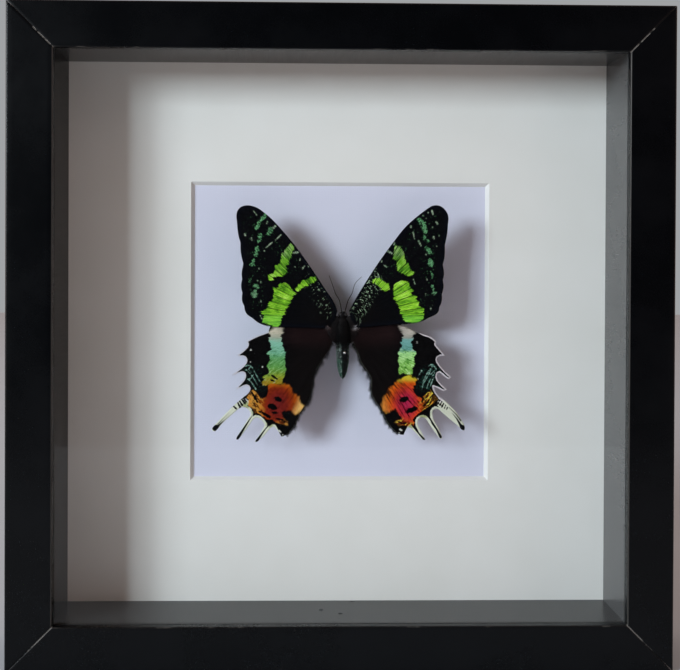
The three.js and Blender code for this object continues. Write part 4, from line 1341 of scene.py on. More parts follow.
def make_hindwing_scales(name, shift, tones):
    """Black scales with a band that runs from cream through teal and green to a fiery fan"""
    b = WingSurface(name, shift)
    drop = b.attribute("drop")
    cloud = b.noise(b.place, 0.16, 3.0, 0.6)
    black = b.mix(b.rows["Glint"], (0.0016, 0.0016, 0.002, 1), (0.004, 0.0038, 0.0042, 1))
    brown = b.mix(b.rows["Line"], (0.003, 0.0024, 0.0026, 1), (0.0062, 0.0048, 0.005, 1))
    colour = b.mix(b.attribute("inner"), black, brown)
    russet = b.step(drop, 7.0, 0.0) * b.step(b.reach, 24.0, 12.0) * 0.85
    colour = b.mix(russet, colour, b.mix(cloud, (0.006, 0.003, 0.0033, 1), (0.021, 0.0102, 0.011, 1)))
    # band, cream at the top through teal to yellow
    slant = (b.rows["Line"] - 0.5) * 5.0
    tone_at = (drop + slant + 4.0) / 25.0
    band_tone = b.ramp(tone_at, tones["band"])
    faint = b.step(b.grain(70.0, 0.5, 6), 0.35, 0.7, 0.0, 0.35)
    band_tone = b.darker(faint, band_tone, rgb(150, 190, 150))
    ripple = b.grain(38.0, 0.4, 0)
    below = b.step(drop, 3.0, 7.0)
    strength = below * tones["strength"]
    dark_line = b.step(ripple, 0.47, 0.38) * strength
    band_tone = b.darker(dark_line, band_tone, rgb(110, 160, 90))
    light_line = b.step(ripple, 0.55, 0.66) * strength
    band_tone = b.mix(light_line * 0.7, band_tone, tones["light"])
    soft = b.step(drop, 1.0, -2.0, 0.17, 0.9)
    band = b.ragged("band", 0.7, soft, 0, 0.7)
    faded = b.step(drop, 0.5, -1.5) * b.step(b.reach, 22.6, 19.4)
    band = band * (1.0 - faded * 0.2)
    colour = b.mix(band, colour, band_tone)
    # fiery fan
    core_x, core_z = b.attribute("core_x"), b.attribute("core_z")
    squash = core_z * b.step(core_z, -1.0, 1.0, 0.68, 0.8)
    core = b.length(core_x, squash)
    rays = b.grain(62.0, 0.1, 0)
    heat_at = core + (rays - 0.5) * 3.6
    fire = b.ramp(heat_at / 11.0, tones["fan"])
    fire = b.darker(b.step(rays, 0.49, 0.37) * tones["streaks"], fire, rgb(110, 54, 58))
    mottle = b.noise(b.place, 0.9, 3.0, 0.65)
    fire = b.darker(b.step(mottle, 0.5, 0.36, 0.0, 0.4), fire, rgb(150, 110, 120))
    spokes = b.step(rays, 0.52, 0.46) * b.step(core_z, -1.5, 2.5)
    spokes = spokes * b.step(core_x, 1.5, -2.5)
    fire = b.mix(spokes * tones["spokes"], fire, (0.006, 0.004, 0.003, 1))
    arcs = b.grain(11.0, 0.9, 4, 2.0)
    gilt = b.mix(b.step(b.noise(b.place, 0.7, 2.0), 0.42, 0.6), tones["gold"], rgb(204, 134, 46))
    gold = b.mix(b.step(arcs, tones["gilt"] - 0.02, tones["gilt"] + 0.05), tones["umber"], gilt)
    outer_part = b.step(core_x + arcs * 3.0, 6.2, 9.2)
    fire = b.mix(outer_part * 0.92, fire, gold)
    inner_part = core_x + core_z * 0.5 + (rays - 0.5) * 3.0
    inner_end = b.step(inner_part, -5.8, -10.0) * tones["cream_end"]
    fire = b.mix(inner_end, fire, rgb(228, 184, 108))
    top_at = tones["top_at"]
    top = b.step(drop + rays * 3.0, top_at, top_at - 2.4)
    fire = b.mix(top * 0.85, fire, tones["top"])
    foot = b.step(core_z + core_x * 0.45, -6.0, -8.0)
    fire = b.mix(foot * 0.75, fire, gold)
    fan_soft = 0.2 + b.step(core_x, 1.0, -4.0) * 0.35
    colour = b.mix(b.ragged("fan", 0.85, fan_soft, 1, 0.5), colour, fire)
    # net, web, spots
    broken = b.step(b.grain(50.0, 1.2, 7), 0.34, 0.44)
    net = b.ragged("net", 0.45, 0.14, 2) * (broken * 0.85)
    colour = b.mix(net, colour, b.mix(b.rows["Glint"], rgb(84, 138, 124), rgb(174, 206, 194)))
    zone = b.step(drop, 11.0, 13.5) * b.step(drop, 23.0, 20.5)
    zone = zone * b.step(b.attribute("outer"), 7.5, 4.5)
    web = b.step(b.grain(48.0, 0.7, 8), 0.52, 0.62) * zone
    colour = b.mix(web * tones["web"], colour, rgb(40, 104, 88))
    for field, fray in (("spots", 0.5), ("black", 0.4)):
        colour = b.mix(b.ragged(field, fray, 0.16, 5), colour, (0.0026, 0.0018, 0.0022, 1))
    # pale fringe and tails with their dark shafts and bars
    frayed = b.attribute("fringe") * b.step(b.rows["Line"], 0.3, 0.7, 0.75, 1.15)
    fringe = b.step(frayed - b.attribute("margin"), -0.1, 0.1)
    fringe = b.largest(fringe, b.ragged("cream", 0.3, 0.16, 9))
    fringe_tone = b.mix(b.rows["Line"], rgb(190, 196, 176), rgb(226, 230, 212))
    at_teeth = b.step(b.attribute("outer"), 3.0, 1.0)
    fringe_tone = b.mix(at_teeth, fringe_tone, rgb(214, 208, 214))
    colour = b.mix(fringe, colour, fringe_tone)
    roots = b.step(b.attribute("root"), 1.9, 0.9) * fringe
    colour = b.mix(roots * 0.75, colour, rgb(142, 152, 84))
    shaft = b.step(b.attribute("shaft"), -0.09, 0.09)
    colour = b.mix(shaft, colour, (0.004, 0.0045, 0.006, 1))
    bars = b.ragged("bars", 0.45, 0.12, 0)
    colour = b.mix(bars, colour, (0.004, 0.004, 0.004, 1))
    dots = b.ragged("dots", 0.5, 0.12, 0)
    colour = b.mix(dots * 0.9, colour, rgb(206, 206, 200))
    b.set("Base Color", colour)
    b.set("Roughness", b.step(b.rows["Glint"], 0.0, 1.0, 0.68, 0.52))
    return b.material


# What the down and the fringes need of each wing: points, rim count, faces, fields and lift
plates = {}
for side_name, side in SIDES:
    marks = FOREWING_MARKS[side_name]
    rib, crowded = (0.95, 0.02) if side > 0 else (0.75, -0.04)
    scales = make_forewing_scales(f"forewing_scales_{side_name}", 10.0 + side, rib, crowded)
    node = f"forewing_{side_name}"
    numbers = forewing_numbers(side, marks)
    plates[node] = build_wing(node, FOREWING_Y, forewing_relief, numbers, scales, 0.34)
    marks = HINDWING_MARKS[side_name]
    scales = make_hindwing_scales(f"hindwing_scales_{side_name}", 20.0 + side, HINDWING_TONES[side_name])
    node = f"hindwing_{side_name}"
    numbers = hindwing_numbers(side, marks)
    plates[node] = build_wing(node, HINDWING_Y, hindwing_relief, numbers, scales, 0.3)


# ---------------------------------------------------------------- body, down and antennae

def growth_tree(name, sizes):
    """An empty Geometry Nodes tree with named sizes and a finish; returns it with its bench and ends"""
    tree = bpy.data.node_groups.new(name, "GeometryNodeTree")
    tree.interface.new_socket("Host", in_out="INPUT", socket_type="NodeSocketGeometry")
    for label, value in sizes.items():
        socket = tree.interface.new_socket(label, in_out="INPUT", socket_type=SOCKETS[type(value)])
        socket.default_value = value
    tree.interface.new_socket("Finish", in_out="INPUT", socket_type="NodeSocketMaterial")
    tree.interface.new_socket("Grown", in_out="OUTPUT", socket_type="NodeSocketGeometry")
    bench = Bench(tree)
    return tree, bench, bench.out("NodeGroupInput"), bench.add("NodeGroupOutput")


def close_growth(b, instances, given, out):
    """Real faces, smooth shading and the finish"""
    real = b.out("GeometryNodeRealizeInstances", {0: instances})[0]
    smooth = b.out("GeometryNodeSetShadeSmooth", {"Geometry": real})[0]
    finished = b.out("GeometryNodeSetMaterial", {"Geometry": smooth, "Material": given["Finish"]})[0]
    b.feed(out.inputs["Grown"], finished)


def scaled(b, vector, factor):
    return b.out("ShaderNodeVectorMath", {0: vector, "Scale": factor}, operation="SCALE")[0]


def stored(b, geometry, name, value):
    """The geometry with a number kept on its points under a name"""
    inputs = {"Geometry": geometry, "Name": name, "Value": value}
    return b.out("GeometryNodeStoreNamedAttribute", inputs, data_type="FLOAT", domain="POINT")[0]


def make_fibre_coat():
    """Hairs or flat scales over a host: it reads the host's fur, comb, long and tone at each root"""
    sizes = {"Per square mm": 8.0, "Length": 0.001, "Thickness": 0.00003, "Flatness": 1.0, "Lift": 0.4,
             "Wander": 0.2, "Bend": 0.2, "Spread": 0.2, "Sides": 3, "Segments": 3, "Seed": 1}
    tree, b, given, out = growth_tree("fibre_coat", sizes)

    def host(label, kind="FLOAT"):
        return b.out("GeometryNodeInputNamedAttribute", {"Name": label}, data_type=kind)["Attribute"]

    def chance(low, high, offset):
        inputs = {2: low, 3: high, "Seed": given["Seed"] + offset}
        return b.out("FunctionNodeRandomValue", inputs, data_type="FLOAT")[1]

    density = given["Per square mm"] * 1e6 * host("fur")
    inputs = {"Mesh": given["Host"], "Density": density, "Seed": given["Seed"]}
    roots = b.out("GeometryNodeDistributePointsOnFaces", inputs, distribute_method="RANDOM")
    tone = host("tone") + chance(-0.5, 0.5, 3.0) * given["Spread"]
    toned = stored(b, roots["Points"], "tone", tone)
    stray = b.xyz(chance(-1.0, 1.0, 5.0), chance(-1.0, 1.0, 6.0), chance(-1.0, 1.0, 7.0))
    toward = b.vector("ADD", host("comb", "FLOAT_VECTOR"), scaled(b, roots["Normal"], given["Lift"]))
    toward = b.vector("ADD", toward, scaled(b, stray, given["Wander"]))
    turn = b.out("FunctionNodeAlignRotationToVector", {"Vector": toward}, axis="Z")[0]
    turn = b.out("FunctionNodeAlignRotationToVector", {"Rotation": turn, "Vector": roots["Normal"]},
                 axis="Y", pivot_axis="Z")[0]
    cone = b.out("GeometryNodeMeshCone", {
        "Vertices": given["Sides"], "Side Segments": given["Segments"], "Radius Top": 0.0,
        "Radius Bottom": given["Thickness"], "Depth": given["Length"]}, fill_type="NGON")["Mesh"]
    along = b.split(b.out("GeometryNodeInputPosition")[0])[2] / given["Length"]
    marked = stored(b, cone, "along", along)
    sag = along * along * (given["Bend"] * given["Length"])
    offset = b.xyz(0.0, sag * -1.0, 0.0)
    fibre = b.out("GeometryNodeSetPosition", {"Geometry": marked, "Offset": offset})[0]
    size = b.xyz(1.0, given["Flatness"], host("long") * chance(0.45, 1.2, 9.0))
    coat = b.out("GeometryNodeInstanceOnPoints", {"Points": toned, "Instance": fibre, "Rotation": turn,
                                                  "Scale": size})[0]
    close_growth(b, coat, given, out)
    return tree


def make_segment_chain():
    """Short flared joints, one after another along the host's path, that taper to its end"""
    sizes = {"Count": 60, "Length": 0.0003, "Thickness": 0.00016, "Flare": 0.75, "Tip": 0.5, "Sides": 8}
    tree, b, given, out = growth_tree("segment_chain", sizes)
    path = b.out("GeometryNodeMeshToCurve", {"Mesh": given["Host"]})[0]
    stations = b.out("GeometryNodeResampleCurve", {"Curve": path, "Count": given["Count"]})[0]
    waist = given["Thickness"] * given["Flare"]
    joint = b.out("GeometryNodeMeshCone", {
        "Vertices": given["Sides"], "Radius Top": given["Thickness"], "Radius Bottom": waist,
        "Depth": given["Length"]}, fill_type="NGON")["Mesh"]
    tangent = b.out("GeometryNodeInputTangent")[0]
    turn = b.out("FunctionNodeAlignRotationToVector", {"Vector": tangent}, axis="Z")[0]
    factor = b.out("GeometryNodeSplineParameter")["Factor"]
    slim = b.step(factor, 0.0, 1.0, 1.0, given["Tip"])
    chain = b.out("GeometryNodeInstanceOnPoints", {"Points": stations, "Instance": joint, "Rotation": turn,
                                                   "Scale": b.xyz(slim, slim, 1.0)})[0]
    close_growth(b, chain, given, out)
    return tree


def host_mesh(name, places, faces, edges=(), **fields):
    """A mesh that only carries what grows on it"""
    mesh = bpy.data.meshes.new(name)
    mesh.from_pydata([tuple(c * MM for c in p) for p in places], edges, faces)
    for label, values in fields.items():
        put_numbers(mesh, label, values, "FLOAT" if np.ndim(values) == 1 else "FLOAT_VECTOR")
    return mesh


def grow(name, host, tree, values, material, slot, *nodes):
    """Runs a growth tree on its host and keeps the result as a plain mesh piece"""
    holder = bpy.data.objects.new(name + "_host", host)
    bpy.context.scene.collection.objects.link(holder)
    modifier = holder.modifiers.new("growth", "NODES")
    modifier.node_group = tree
    inputs = {item.name: item.identifier for item in tree.interface.items_tree if item.in_out == "INPUT"}
    for label, value in values.items():
        modifier[inputs[label]] = value
    modifier[inputs["Finish"]] = material
    graph = bpy.context.evaluated_depsgraph_get()
    mesh = bpy.data.meshes.new_from_object(holder.evaluated_get(graph), depsgraph=graph)
    mesh.name = name
    holder.modifiers.remove(modifier)
    bpy.data.objects.remove(holder)
    return add_piece(name, mesh, [material], slot, *nodes)


FIBRE_COAT = make_fibre_coat()
SEGMENT_CHAIN = make_segment_chain()


def make_moth_skin():
    """Dark horny skin with a few worn scales"""
    b = Surface("moth_skin", Specular_IOR_Level=0.12)
    cloud = b.noise(b.place, 0.5, 3.0, 0.6)
    grain = b.drawn((5.0, 5.0, 2.2), 1.0, 3.0, 0.7)
    skin = b.mix(cloud, (0.0022, 0.0022, 0.0028, 1), (0.007, 0.0048, 0.005, 1))
    b.set("Base Color", b.mix(b.step(grain, 0.5, 0.75, 0.0, 0.4), skin, (0.016, 0.017, 0.02, 1)))
    b.set("Roughness", b.step(grain, 0.3, 0.7, 0.5, 0.75))
    b.relief(grain, 0.05, 0.7)
    return b.material


def make_down(name, stops):
    """Fine hairs, coloured by their tone and a little lighter towards the tip"""
    b = Surface(name, Specular_IOR_Level=0.04)
    along = b.attribute("along")
    fleck = b.noise(b.place, 1.4, 2.0, 0.6)
    tone = b.attribute("tone") + (fleck - 0.5) * 0.16
    colour = b.ramp(tone + along * 0.05, stops)
    b.set("Base Color", colour)
    b.set("Roughness", b.step(along, 0.0, 1.0, 0.8, 0.6))
    return b.material


def make_flank_scales():
    """Small overlapping scales: blue-black on the back, grey and metallic green on the left flank, which is
    painted lighter where the lamps fall on it, with painted glints
    """
    b = Surface("flank_scales", Specular_IOR_Level=0.15)
    glint = b.split(b.cells(b.place, 2.4)["Color"])
    tone = b.attribute("tone") + (glint[0] - 0.5) * 0.5
    down_left = b.step(b.split(b.place)[2], MOTH_Z - 8.6, MOTH_Z - 10.6)
    greys = [(0.1, (0.0036, 0.004, 0.0055, 1)), (0.5, rgb(32, 39, 40)), (0.85, rgb(84, 96, 93))]
    greens = [(0.1, (0.0036, 0.0046, 0.0055, 1)), (0.5, rgb(20, 50, 40)), (0.85, rgb(76, 130, 106))]
    colour = b.mix(down_left, b.ramp(tone, greys), b.ramp(tone, greens))
    # The bright specks on the lit left flank are painted glints
    painted_glints = b.step(glint[1], 0.66, 0.76) * b.step(tone, 0.3, 0.46)
    b.set("Base Color", b.mix(painted_glints, colour, rgb(146, 166, 158)))
    b.set("Roughness", b.step(glint[2], 0.0, 1.0, 0.35, 0.6))
    b.set("Metallic", tone * 0.3)
    return b.material


def make_eye_facets():
    """Dark compound eye: a fine pattern of domed facets under a gloss"""
    b = Surface("eye_facets", Specular_IOR_Level=0.6)
    facet = b.cells(b.place, 9.0)["Distance"]
    b.set("Base Color", b.mix(facet, (0.012, 0.009, 0.007, 1), (0.004, 0.003, 0.003, 1)))
    b.set("Roughness", b.step(facet, 0.0, 0.6, 0.18, 0.34))
    b.relief(1.0 - facet, 0.03)
    return b.material


MOTH_SKIN = make_moth_skin()
DOWN = make_down("moth_down", [
    (0.0, (0.0008, 0.0009, 0.0012, 1)), (0.2, (0.0022, 0.0018, 0.0021, 1)),
    (0.4, (0.01, 0.0052, 0.0052, 1)), (0.62, (0.07, 0.045, 0.045, 1)),
    (0.85, rgb(172, 156, 156)), (1.0, rgb(216, 212, 216))])
FLANK_SCALES = make_flank_scales()
EYE_FACETS = make_eye_facets()

# Radius and height of the body, from the crown of the head to the tip of the abdomen
BODY_PROFILE = [(0, 9.1), (1.1, 8.8), (1.7, 7.7), (1.5, 6.7), (2.4, 5.4), (3.05, 3), (3.05, 0.2),
                (2.6, -2.6), (2.1, -3.9), (2.45, -5.4), (2.5, -8), (2.2, -11.2), (1.65, -14.2),
                (0.9, -16.3), (0, -17)]
ABDOMEN_TOP = -4.4
BELT_HEIGHT = 1.75


def body_radius(heights):
    """The smoothed profile at each height, with a groove between the abdomen's belts"""
    samples = np.arange(-19, 11, 0.1)
    radii, levels = zip(*reversed(BODY_PROFILE))
    rough = np.interp(samples, levels, radii)
    window = np.hanning(9)
    radius = np.interp(heights, samples, np.convolve(rough, window / window.sum(), "same"))
    belts = (ABDOMEN_TOP - heights) / BELT_HEIGHT
    part = belts % 1
    groove = -0.14 * np.exp(-(np.minimum(part, 1 - part) / 0.1) ** 2) + 0.06 * np.sin(np.pi * part)
    slim = smooth_step(heights, -16.6, -15)
    return radius + groove * (belts > -0.2) * slim


def body_shell(sides=48, rings=130):
    """Places and faces of the body, its heights and its angles round the body's own line"""
    crown, tip = 9.1, -17
    heights = np.linspace(9.0, -16.9, rings)
    angles = np.linspace(0, 2 * math.pi, sides, endpoint=False)
    radius = body_radius(heights)
    x = MOTH_X + np.outer(radius, np.cos(angles))
    y = BODY_Y + 0.95 * np.outer(radius, np.sin(angles))
    z = MOTH_Z + np.repeat(heights[:, None], sides, 1)
    places = np.concatenate([[(MOTH_X, BODY_Y, MOTH_Z + crown)], np.stack([x, y, z], -1).reshape(-1, 3),
                             [(MOTH_X, BODY_Y, MOTH_Z + tip)]])
    faces = []
    for j in range(sides):
        k = (j + 1) % sides
        faces.append((0, 1 + j, 1 + k))
        faces.append((len(places) - 1, 1 + (rings - 1) * sides + k, 1 + (rings - 1) * sides + j))
        for i in range(rings - 1):
            low, high = 1 + i * sides, 1 + (i + 1) * sides
            faces.append((low + j, high + j, high + k, low + k))
    height = np.concatenate([[crown], np.repeat(heights, sides), [tip]])
    angle = np.concatenate([[0], np.tile(angles, rings), [0]])
    return places, faces, height, angle


def build_body():
    """The horny shell, long down on its head and thorax, and flat scales on its abdomen"""
    places, faces, height, angle = body_shell()
    mesh = mesh_from("moth_body_shell", places, faces)
    add_piece("moth_body_shell", mesh, [MOTH_SKIN], "body_fur", "moth_body")
    out_x, out_y = np.cos(angle), np.sin(angle)
    still = np.zeros(len(angle))
    # long down on the head and thorax
    comb = np.column_stack([0.55 * out_x, 0.2 * out_y, -1 + 0.5 * smooth_step(height, 6.5, 9)])
    fur = smooth_step(height, -5.2, -3.2)
    long = 0.55 + 0.45 * smooth_step(height, 8.5, 5) + 0.25 * smooth_step(height, 0, -4)
    tone = 0.02 + 0.16 * smooth_step(np.abs(out_x), 0.6, 1) * smooth_step(height, 5, 2)
    host = host_mesh("thorax_down", places, faces, fur=fur, comb=comb, long=long, tone=tone)
    grow("thorax_down", host, FIBRE_COAT, {
        "Per square mm": 17.0, "Length": 1.35 * MM, "Thickness": 0.035 * MM, "Lift": 0.42, "Wander": 0.3,
        "Bend": 0.3, "Spread": 0.14, "Seed": 3}, DOWN, "body_fur")
    # flat scales on the abdomen
    comb = np.column_stack([still, still, still - 1])
    fur = smooth_step(height, -2.6, -4.4)
    # The left flank's higher tone is painted light from the lamps on the left, and the right edge's tone is
    # a painted sheen
    left = smooth_step(-out_x, -0.1, 0.45) * smooth_step(out_y, 0.85, 0.2)
    right = 0.85 * smooth_step(out_x, 0.7, 0.96)
    tone = 0.05 + np.maximum(0.62 * left, right)
    host = host_mesh("abdomen_scales", places, faces, fur=fur, comb=comb, long=1 + still, tone=tone)
    grow("abdomen_scales", host, FIBRE_COAT, {
        "Per square mm": 22.0, "Length": 0.55 * MM, "Thickness": 0.15 * MM, "Flatness": 0.16, "Lift": 0.12,
        "Wander": 0.12, "Bend": 0.1, "Spread": 0.3, "Sides": 4, "Segments": 2, "Seed": 5},
        FLANK_SCALES, "body_fur")


def build_eyes():
    """Two bulging eyes at the sides of the head"""
    radius, aside, ahead, up = 0.72, 0.98, 0.75, 7.9
    dome = np.radians(np.arange(12, 169, 12))
    profile = [(0.0, -1.0)] + [(math.sin(a), -math.cos(a)) for a in dome] + [(0.0, 1.0)]
    ball, shell = turned(profile, 0, 0, 24)
    places, faces = [], []
    for _, side in SIDES:
        first = len(places)
        for x, y, z in ball:
            places.append((MOTH_X + side * aside + x * radius * 0.8, BODY_Y - ahead + y * radius * 0.9,
                           MOTH_Z + up + z * radius))
        faces += [tuple(first + i for i in face) for face in shell]
    add_piece("moth_eyes", mesh_from("moth_eyes", places, faces), [EYE_FACETS], "body_fur")


def joint_pad(side):
    """Places and faces of the soft pad that carries a pair of wings, a flattened closed form"""
    around, across = 40, 14
    middle_x, middle_z, half_width, half_depth = 2.9, 2.2, 3.3, 0.8
    places, faces = [], []
    for j in range(across + 1):
        tilt = math.pi * (j / across - 0.5)
        for i in range(around):
            a = 2 * math.pi * i / around
            u = math.cos(a) * math.cos(tilt)
            w = math.sin(a) * math.cos(tilt)
            height = middle_z + (5.2 if w > 0 else 5.4) * w
            depth = MOTH_Y - 0.35 + 0.55 * float(smooth_step(height, middle_z, -2))
            x = side * (middle_x + half_width * u * (1 - 0.25 * max(0, -w)))
            places.append((MOTH_X + x, depth + half_depth * math.sin(tilt), MOTH_Z + height))
    for j in range(across):
        for i in range(around):
            k = (i + 1) % around
            faces.append((j * around + i, j * around + k, (j + 1) * around + k, (j + 1) * around + i))
    return np.array(places), faces


def build_joint_pads():
    """The pads under the wing roots, with combed down and a tuft that stands up from it"""
    for side_name, side in SIDES:
        places, faces = joint_pad(side)
        mesh = mesh_from(f"wing_joint_{side_name}", places, faces, weld=True)
        add_piece(f"wing_joint_{side_name}", mesh, [MOTH_SKIN], "body_fur")
        x, z = (places[:, 0] - MOTH_X) * side, places[:, 2] - MOTH_Z
        tuft_x, tuft_z, glow = (4.3, 2.9, 1.0) if side > 0 else (5.2, 2.6, 0.44)
        tuft = np.exp(-((x - tuft_x) ** 2 + (z - tuft_z) ** 2) / 1.3)
        tuft += 0.6 * np.exp(-((x - tuft_x - 1.7) ** 2 + (z - tuft_z - 1.5) ** 2) / 1.5)
        russet = 0.3 * smooth_step(z, 4.4, 2.4) * smooth_step(z, -4.5, -2)
        lifted = np.clip(tuft, 0, 1)
        comb = np.column_stack([side * (0.75 + 0.1 * lifted), 0 * x, -0.7 + 1.3 * lifted])
        comb[:, 2] += 0.5 * smooth_step(z, 3.5, 6)
        host = host_mesh(f"joint_down_{side_name}", places, faces, fur=0.8 + 0.8 * lifted, comb=comb,
                         long=0.9 + 0.4 * lifted, tone=0.08 + russet + glow * lifted)
        grow(f"joint_down_{side_name}", host, FIBRE_COAT, {
            "Per square mm": 14.0, "Length": 1.5 * MM, "Thickness": 0.035 * MM, "Lift": 0.3, "Wander": 0.32,
            "Bend": 0.25, "Spread": 0.16, "Seed": 21 + side}, DOWN, "body_fur")


def build_wing_coat(side_name, side):
    """Down on the wing bases and over the hindwing's inner field"""
    wings = ((f"forewing_{side_name}", FOREWING_Y, 31), (f"hindwing_{side_name}", HINDWING_Y, 41))
    for node, depth, seed in wings:
        points, _, faces, fields, lift = plates[node]
        reach, ray, margin = fields["reach"], fields["ray"], fields["margin"]
        x, z = points[:, 0], points[:, 1]
        places = np.column_stack([x + MOTH_X, depth + lift - 0.05, z + MOTH_Z])
        hind = node.startswith("hind")
        base = smooth_step(reach, 13, 4) if hind else smooth_step(reach, 8, 2.5)
        sparse = 0.3 * fields["inner"] * smooth_step(margin, 0.1, 0.6) if hind else 0 * reach
        russet = 0.3 * smooth_step(reach, 15, 6) if hind else 0 * reach
        comb = np.column_stack([side * np.cos(ray), 0 * ray, np.sin(ray)])
        host = host_mesh(f"{node}_down", places, faces, fur=np.maximum(base, sparse), comb=comb,
                         long=0.7 + 0.3 * base, tone=0.07 + russet)
        grow(f"{node}_down", host, FIBRE_COAT, {
            "Per square mm": 11.0, "Length": 1.7 * MM, "Thickness": 0.03 * MM, "Lift": 0.16,
            "Wander": 0.2, "Bend": 0.15, "Spread": 0.12, "Seed": seed + side}, DOWN, "body_fur")


def rim_places(plate, depth, tuck):
    """A ribbon just inside a wing's rim: its places and the outward direction at each point of the rim"""
    points, count, _, _, lift = plate
    edge = points[:count]
    out = outward(edge)
    inner = edge - out * tuck
    both = np.concatenate([edge, inner])
    y = depth + np.concatenate([lift[:count], lift[:count]])
    return np.column_stack([both[:, 0] + MOTH_X, y, both[:, 1] + MOTH_Z]), out, edge


def build_cilia(side_name, side):
    """Pale fringes on the outer rims and tails, and the ragged dark hairs of the inner rims"""
    pale, dark, dense = 0.93, 0.12, 6.0
    rng = np.random.default_rng(60 + side)
    for node, depth in ((f"forewing_{side_name}", FOREWING_Y), (f"hindwing_{side_name}", HINDWING_Y)):
        plate = plates[node]
        places, out, edge = rim_places(plate, depth, 0.12)
        count = len(edge)
        fields = {label: values[:count] for label, values in plate[3].items()}
        x, z = edge[:, 0] * side, edge[:, 1]
        long, tone, droop = np.zeros(count), np.zeros(count), np.zeros(count)
        if node.startswith("fore"):
            termen = (fields["costa"] > 1.5) & (fields["reach"] > 27)
            below = ~termen & (out[:, 1] < -0.3) & (fields["reach"] > 3)
            long[termen], tone[termen] = 0.34, 0.92
            long[below], tone[below] = 0.5, 0.16
        else:
            teeth = fields["outer"] < 1.3
            tails = ~teeth & (z < -23) & (x > 24.5)
            inner = ~teeth & ~tails & (out[:, 0] * side < 0.35) & (z < -3) & (x < 22)
            long[teeth], tone[teeth] = 0.85 if side < 0 else 0.32, pale
            long[tails], tone[tails] = 0.2, pale
            window = np.hanning(9)
            clumps = np.convolve(rng.normal(0, 1, count), window / np.sqrt((window ** 2).sum()), "same")
            long[inner] = 0.9 + 1.25 * np.clip(0.5 + 0.4 * clumps[inner], 0, 1.1)
            tone[inner], droop[inner] = dark, 0.9
        shown = long > 0
        fur = np.where(tone == dark, dense, 1.0) * shown
        comb = np.column_stack([out[:, 0], 0 * long, out[:, 1] - droop])
        faces = [(i, (i + 1) % count, count + (i + 1) % count, count + i) for i in range(count)
                 if shown[i] and shown[(i + 1) % count]]
        twice = {"fur": fur, "comb": comb, "long": long, "tone": tone}
        twice = {label: np.concatenate([values, values]) for label, values in twice.items()}
        grow(f"{node}_fringe", host_mesh(f"{node}_fringe", places, faces, **twice), FIBRE_COAT, {
            "Per square mm": 95.0, "Length": 1.0 * MM, "Thickness": 0.03 * MM, "Lift": 0.05, "Wander": 0.22,
            "Bend": 0.1, "Spread": 0.12, "Segments": 2, "Seed": 71 + side}, DOWN, "body_fur")


# From the head to the tip, in millimetres from the moth's middle
ANTENNAE = {
    "antenna_left": [(-0.5, -1, 8.6), (-1.5, -1.8, 13.3), (-3.1, -2.2, 16.2), (-4.2, -2.4, 19.3),
                     (-5.5, -2.5, 22.9)],
    "antenna_right": [(0.6, -1, 8.6), (1.8, -1.8, 13.3), (3.4, -2.2, 16.4), (4.5, -2.4, 20),
                      (6.8, -2.5, 22.5)],
}


def build_antennae():
    """Slender jointed feelers, each along its own curve"""
    for node, route in ANTENNAE.items():
        stops = np.array(route, float) + (MOTH_X, MOTH_Y, MOTH_Z)
        first, last = 2 * stops[0] - stops[1], 2 * stops[-1] - stops[-2]
        ring = np.concatenate([[first], stops, [last]])
        path = []
        for p0, p1, p2, p3 in zip(ring, ring[1:], ring[2:], ring[3:]):
            path += bend(p0, p1, p2, p3, 12)
        path.append(stops[-1])
        edges = [(i, i + 1) for i in range(len(path) - 1)]
        host = host_mesh(node + "_joints", path, [], edges)
        grow(node + "_joints", host, SEGMENT_CHAIN, {
            "Count": 64, "Length": 0.27 * MM, "Thickness": 0.17 * MM, "Flare": 0.74, "Tip": 0.5}, MOTH_SKIN,
            "body_fur", node)


build_body()
build_eyes()
build_joint_pads()
for side_name, side in SIDES:
    build_wing_coat(side_name, side)
    build_cilia(side_name, side)
build_antennae()


# ---------------------------------------------------------------- stage, lights and camera

def build_stage():
    """A pale floor that ends half a metre in front of the frame"""
    floor = bpy.data.meshes.new("floor")
    side, front, back, level = 1.5, -0.5, 2.5, -0.0005
    corners = [(-side, front, level), (side, front, level), (side, back, level), (-side, back, level)]
    floor.from_pydata(corners, [], [(0, 1, 2, 3)])
    b = Surface("pale_floor", Specular_IOR_Level=0.2)
    tone = b.noise(b.place, 0.01, 4.0, 0.6)
    b.set("Base Color", b.mix(tone, rgb(194, 206, 214), rgb(204, 216, 224)))
    b.set("Roughness", b.step(tone, 0.3, 0.7, 0.8, 0.9))
    floor.materials.append(b.material)
    piece = bpy.data.objects.new("floor", floor)
    bpy.context.scene.collection.objects.link(piece)


def area_light(name, centre, width, height, power, colour, tilt=math.pi / 2):
    """A soft panel: upright and facing the wall, or tilted back until it lies face up"""
    light = bpy.data.lights.new(name, "AREA")
    light.shape = "RECTANGLE"
    light.size, light.size_y = width, height
    light.energy = power
    light.color = colour
    holder = bpy.data.objects.new(name, light)
    holder.matrix_world = Matrix.Translation(centre) @ Matrix.Rotation(tilt, 4, "X")
    holder.visible_camera = False
    holder.visible_glossy = tilt < math.pi
    bpy.context.scene.collection.objects.link(holder)


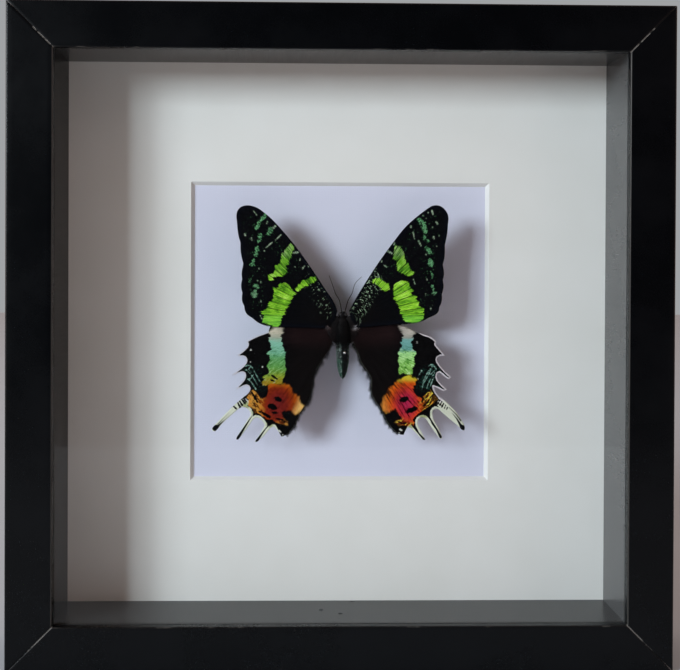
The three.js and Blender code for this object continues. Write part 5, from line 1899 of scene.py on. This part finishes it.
def build_lights():
    """A tall window in front and far to the left, in four parts of differing strength, and a low panel"""
    cool, warm = (0.84, 0.95, 1.025), (1.0, 0.85, 0.83)
    away = 2.0
    middle = 0.125
    low, high = 0.165 * away, 0.62 * away
    rise = middle + (low + high) / 2
    # near and far edge to the left of the frame's middle, in metres, and power in watts
    panes = (("window_sash", 1.54, 1.76, 20.2), ("window_net", 1.76, 2.13, 18.7),
             ("window_pane", 2.13, 2.56, 49.0), ("window_side", 2.56, 3.17, 51.0))
    area_light("reflector", (0.0, -0.35, 0.005), 1.2, 0.4, 0.62, warm, math.pi)
    for name, near, far, power in panes:
        area_light(name, (-(near + far) / 2, -away, rise), far - near, high - low, power, cool)


def build_world():
    """Warm even light from all round, with a soft dark area straight in front, and a plain backdrop"""
    world = bpy.data.worlds.new("room")
    world.use_nodes = True
    world.node_tree.nodes.clear()
    b = Bench(world.node_tree)
    toward = b.out("ShaderNodeTexCoord")["Generated"]
    inputs = {0: toward, 1: (0.0, -1.0, 0.0)}
    facing = b.out("ShaderNodeVectorMath", inputs, operation="DOT_PRODUCT")["Value"]
    outer_angle, inner_angle = math.radians(46), math.radians(28)
    dark = b.step(facing, math.cos(outer_angle), math.cos(inner_angle))
    overhead = b.step(b.split(toward)[2], 0.1, 0.7)
    walls = b.mix(overhead, (0.93, 0.68, 0.61, 1), (0.38, 0.285, 0.25, 1))
    room = b.mix(dark, walls, (0.012, 0.012, 0.012, 1))
    lit = b.out("ShaderNodeBackground", {"Color": room, "Strength": 1.0})[0]
    plain = b.out("ShaderNodeBackground", {"Color": rgb(160, 162, 164), "Strength": 1.0})[0]
    camera_ray = b.out("ShaderNodeLightPath")["Is Camera Ray"]
    shown = b.out("ShaderNodeMixShader", {0: camera_ray, 1: lit, 2: plain})[0]
    b.add("ShaderNodeOutputWorld", {"Surface": shown})
    bpy.context.scene.world = world


def build_camera():
    data = bpy.data.cameras.new("camera")
    data.lens = 57.54
    data.sensor_width = 36
    data.shift_x = 0.0503
    data.shift_y = -0.1047
    data.dof.use_dof = False
    data.clip_start, data.clip_end = 0.01, 20
    camera = bpy.data.objects.new("camera", data)
    forward = Vector((0.022757, 0.999712, -0.007590))
    up = Vector((-0.00424, 0.00769, 0.99996))
    right = forward.cross(up).normalized()
    up = right.cross(forward).normalized()
    turn = Matrix((right, up, -forward)).transposed().to_4x4()
    place = Vector((-22.96, -426.32, 155.84)) * MM
    camera.matrix_world = Matrix.Translation(place) @ turn
    bpy.context.scene.collection.objects.link(camera)
    bpy.context.scene.camera = camera


build_stage()
build_lights()
build_world()
build_camera()
bpy.context.scene.view_settings.view_transform = "Standard"
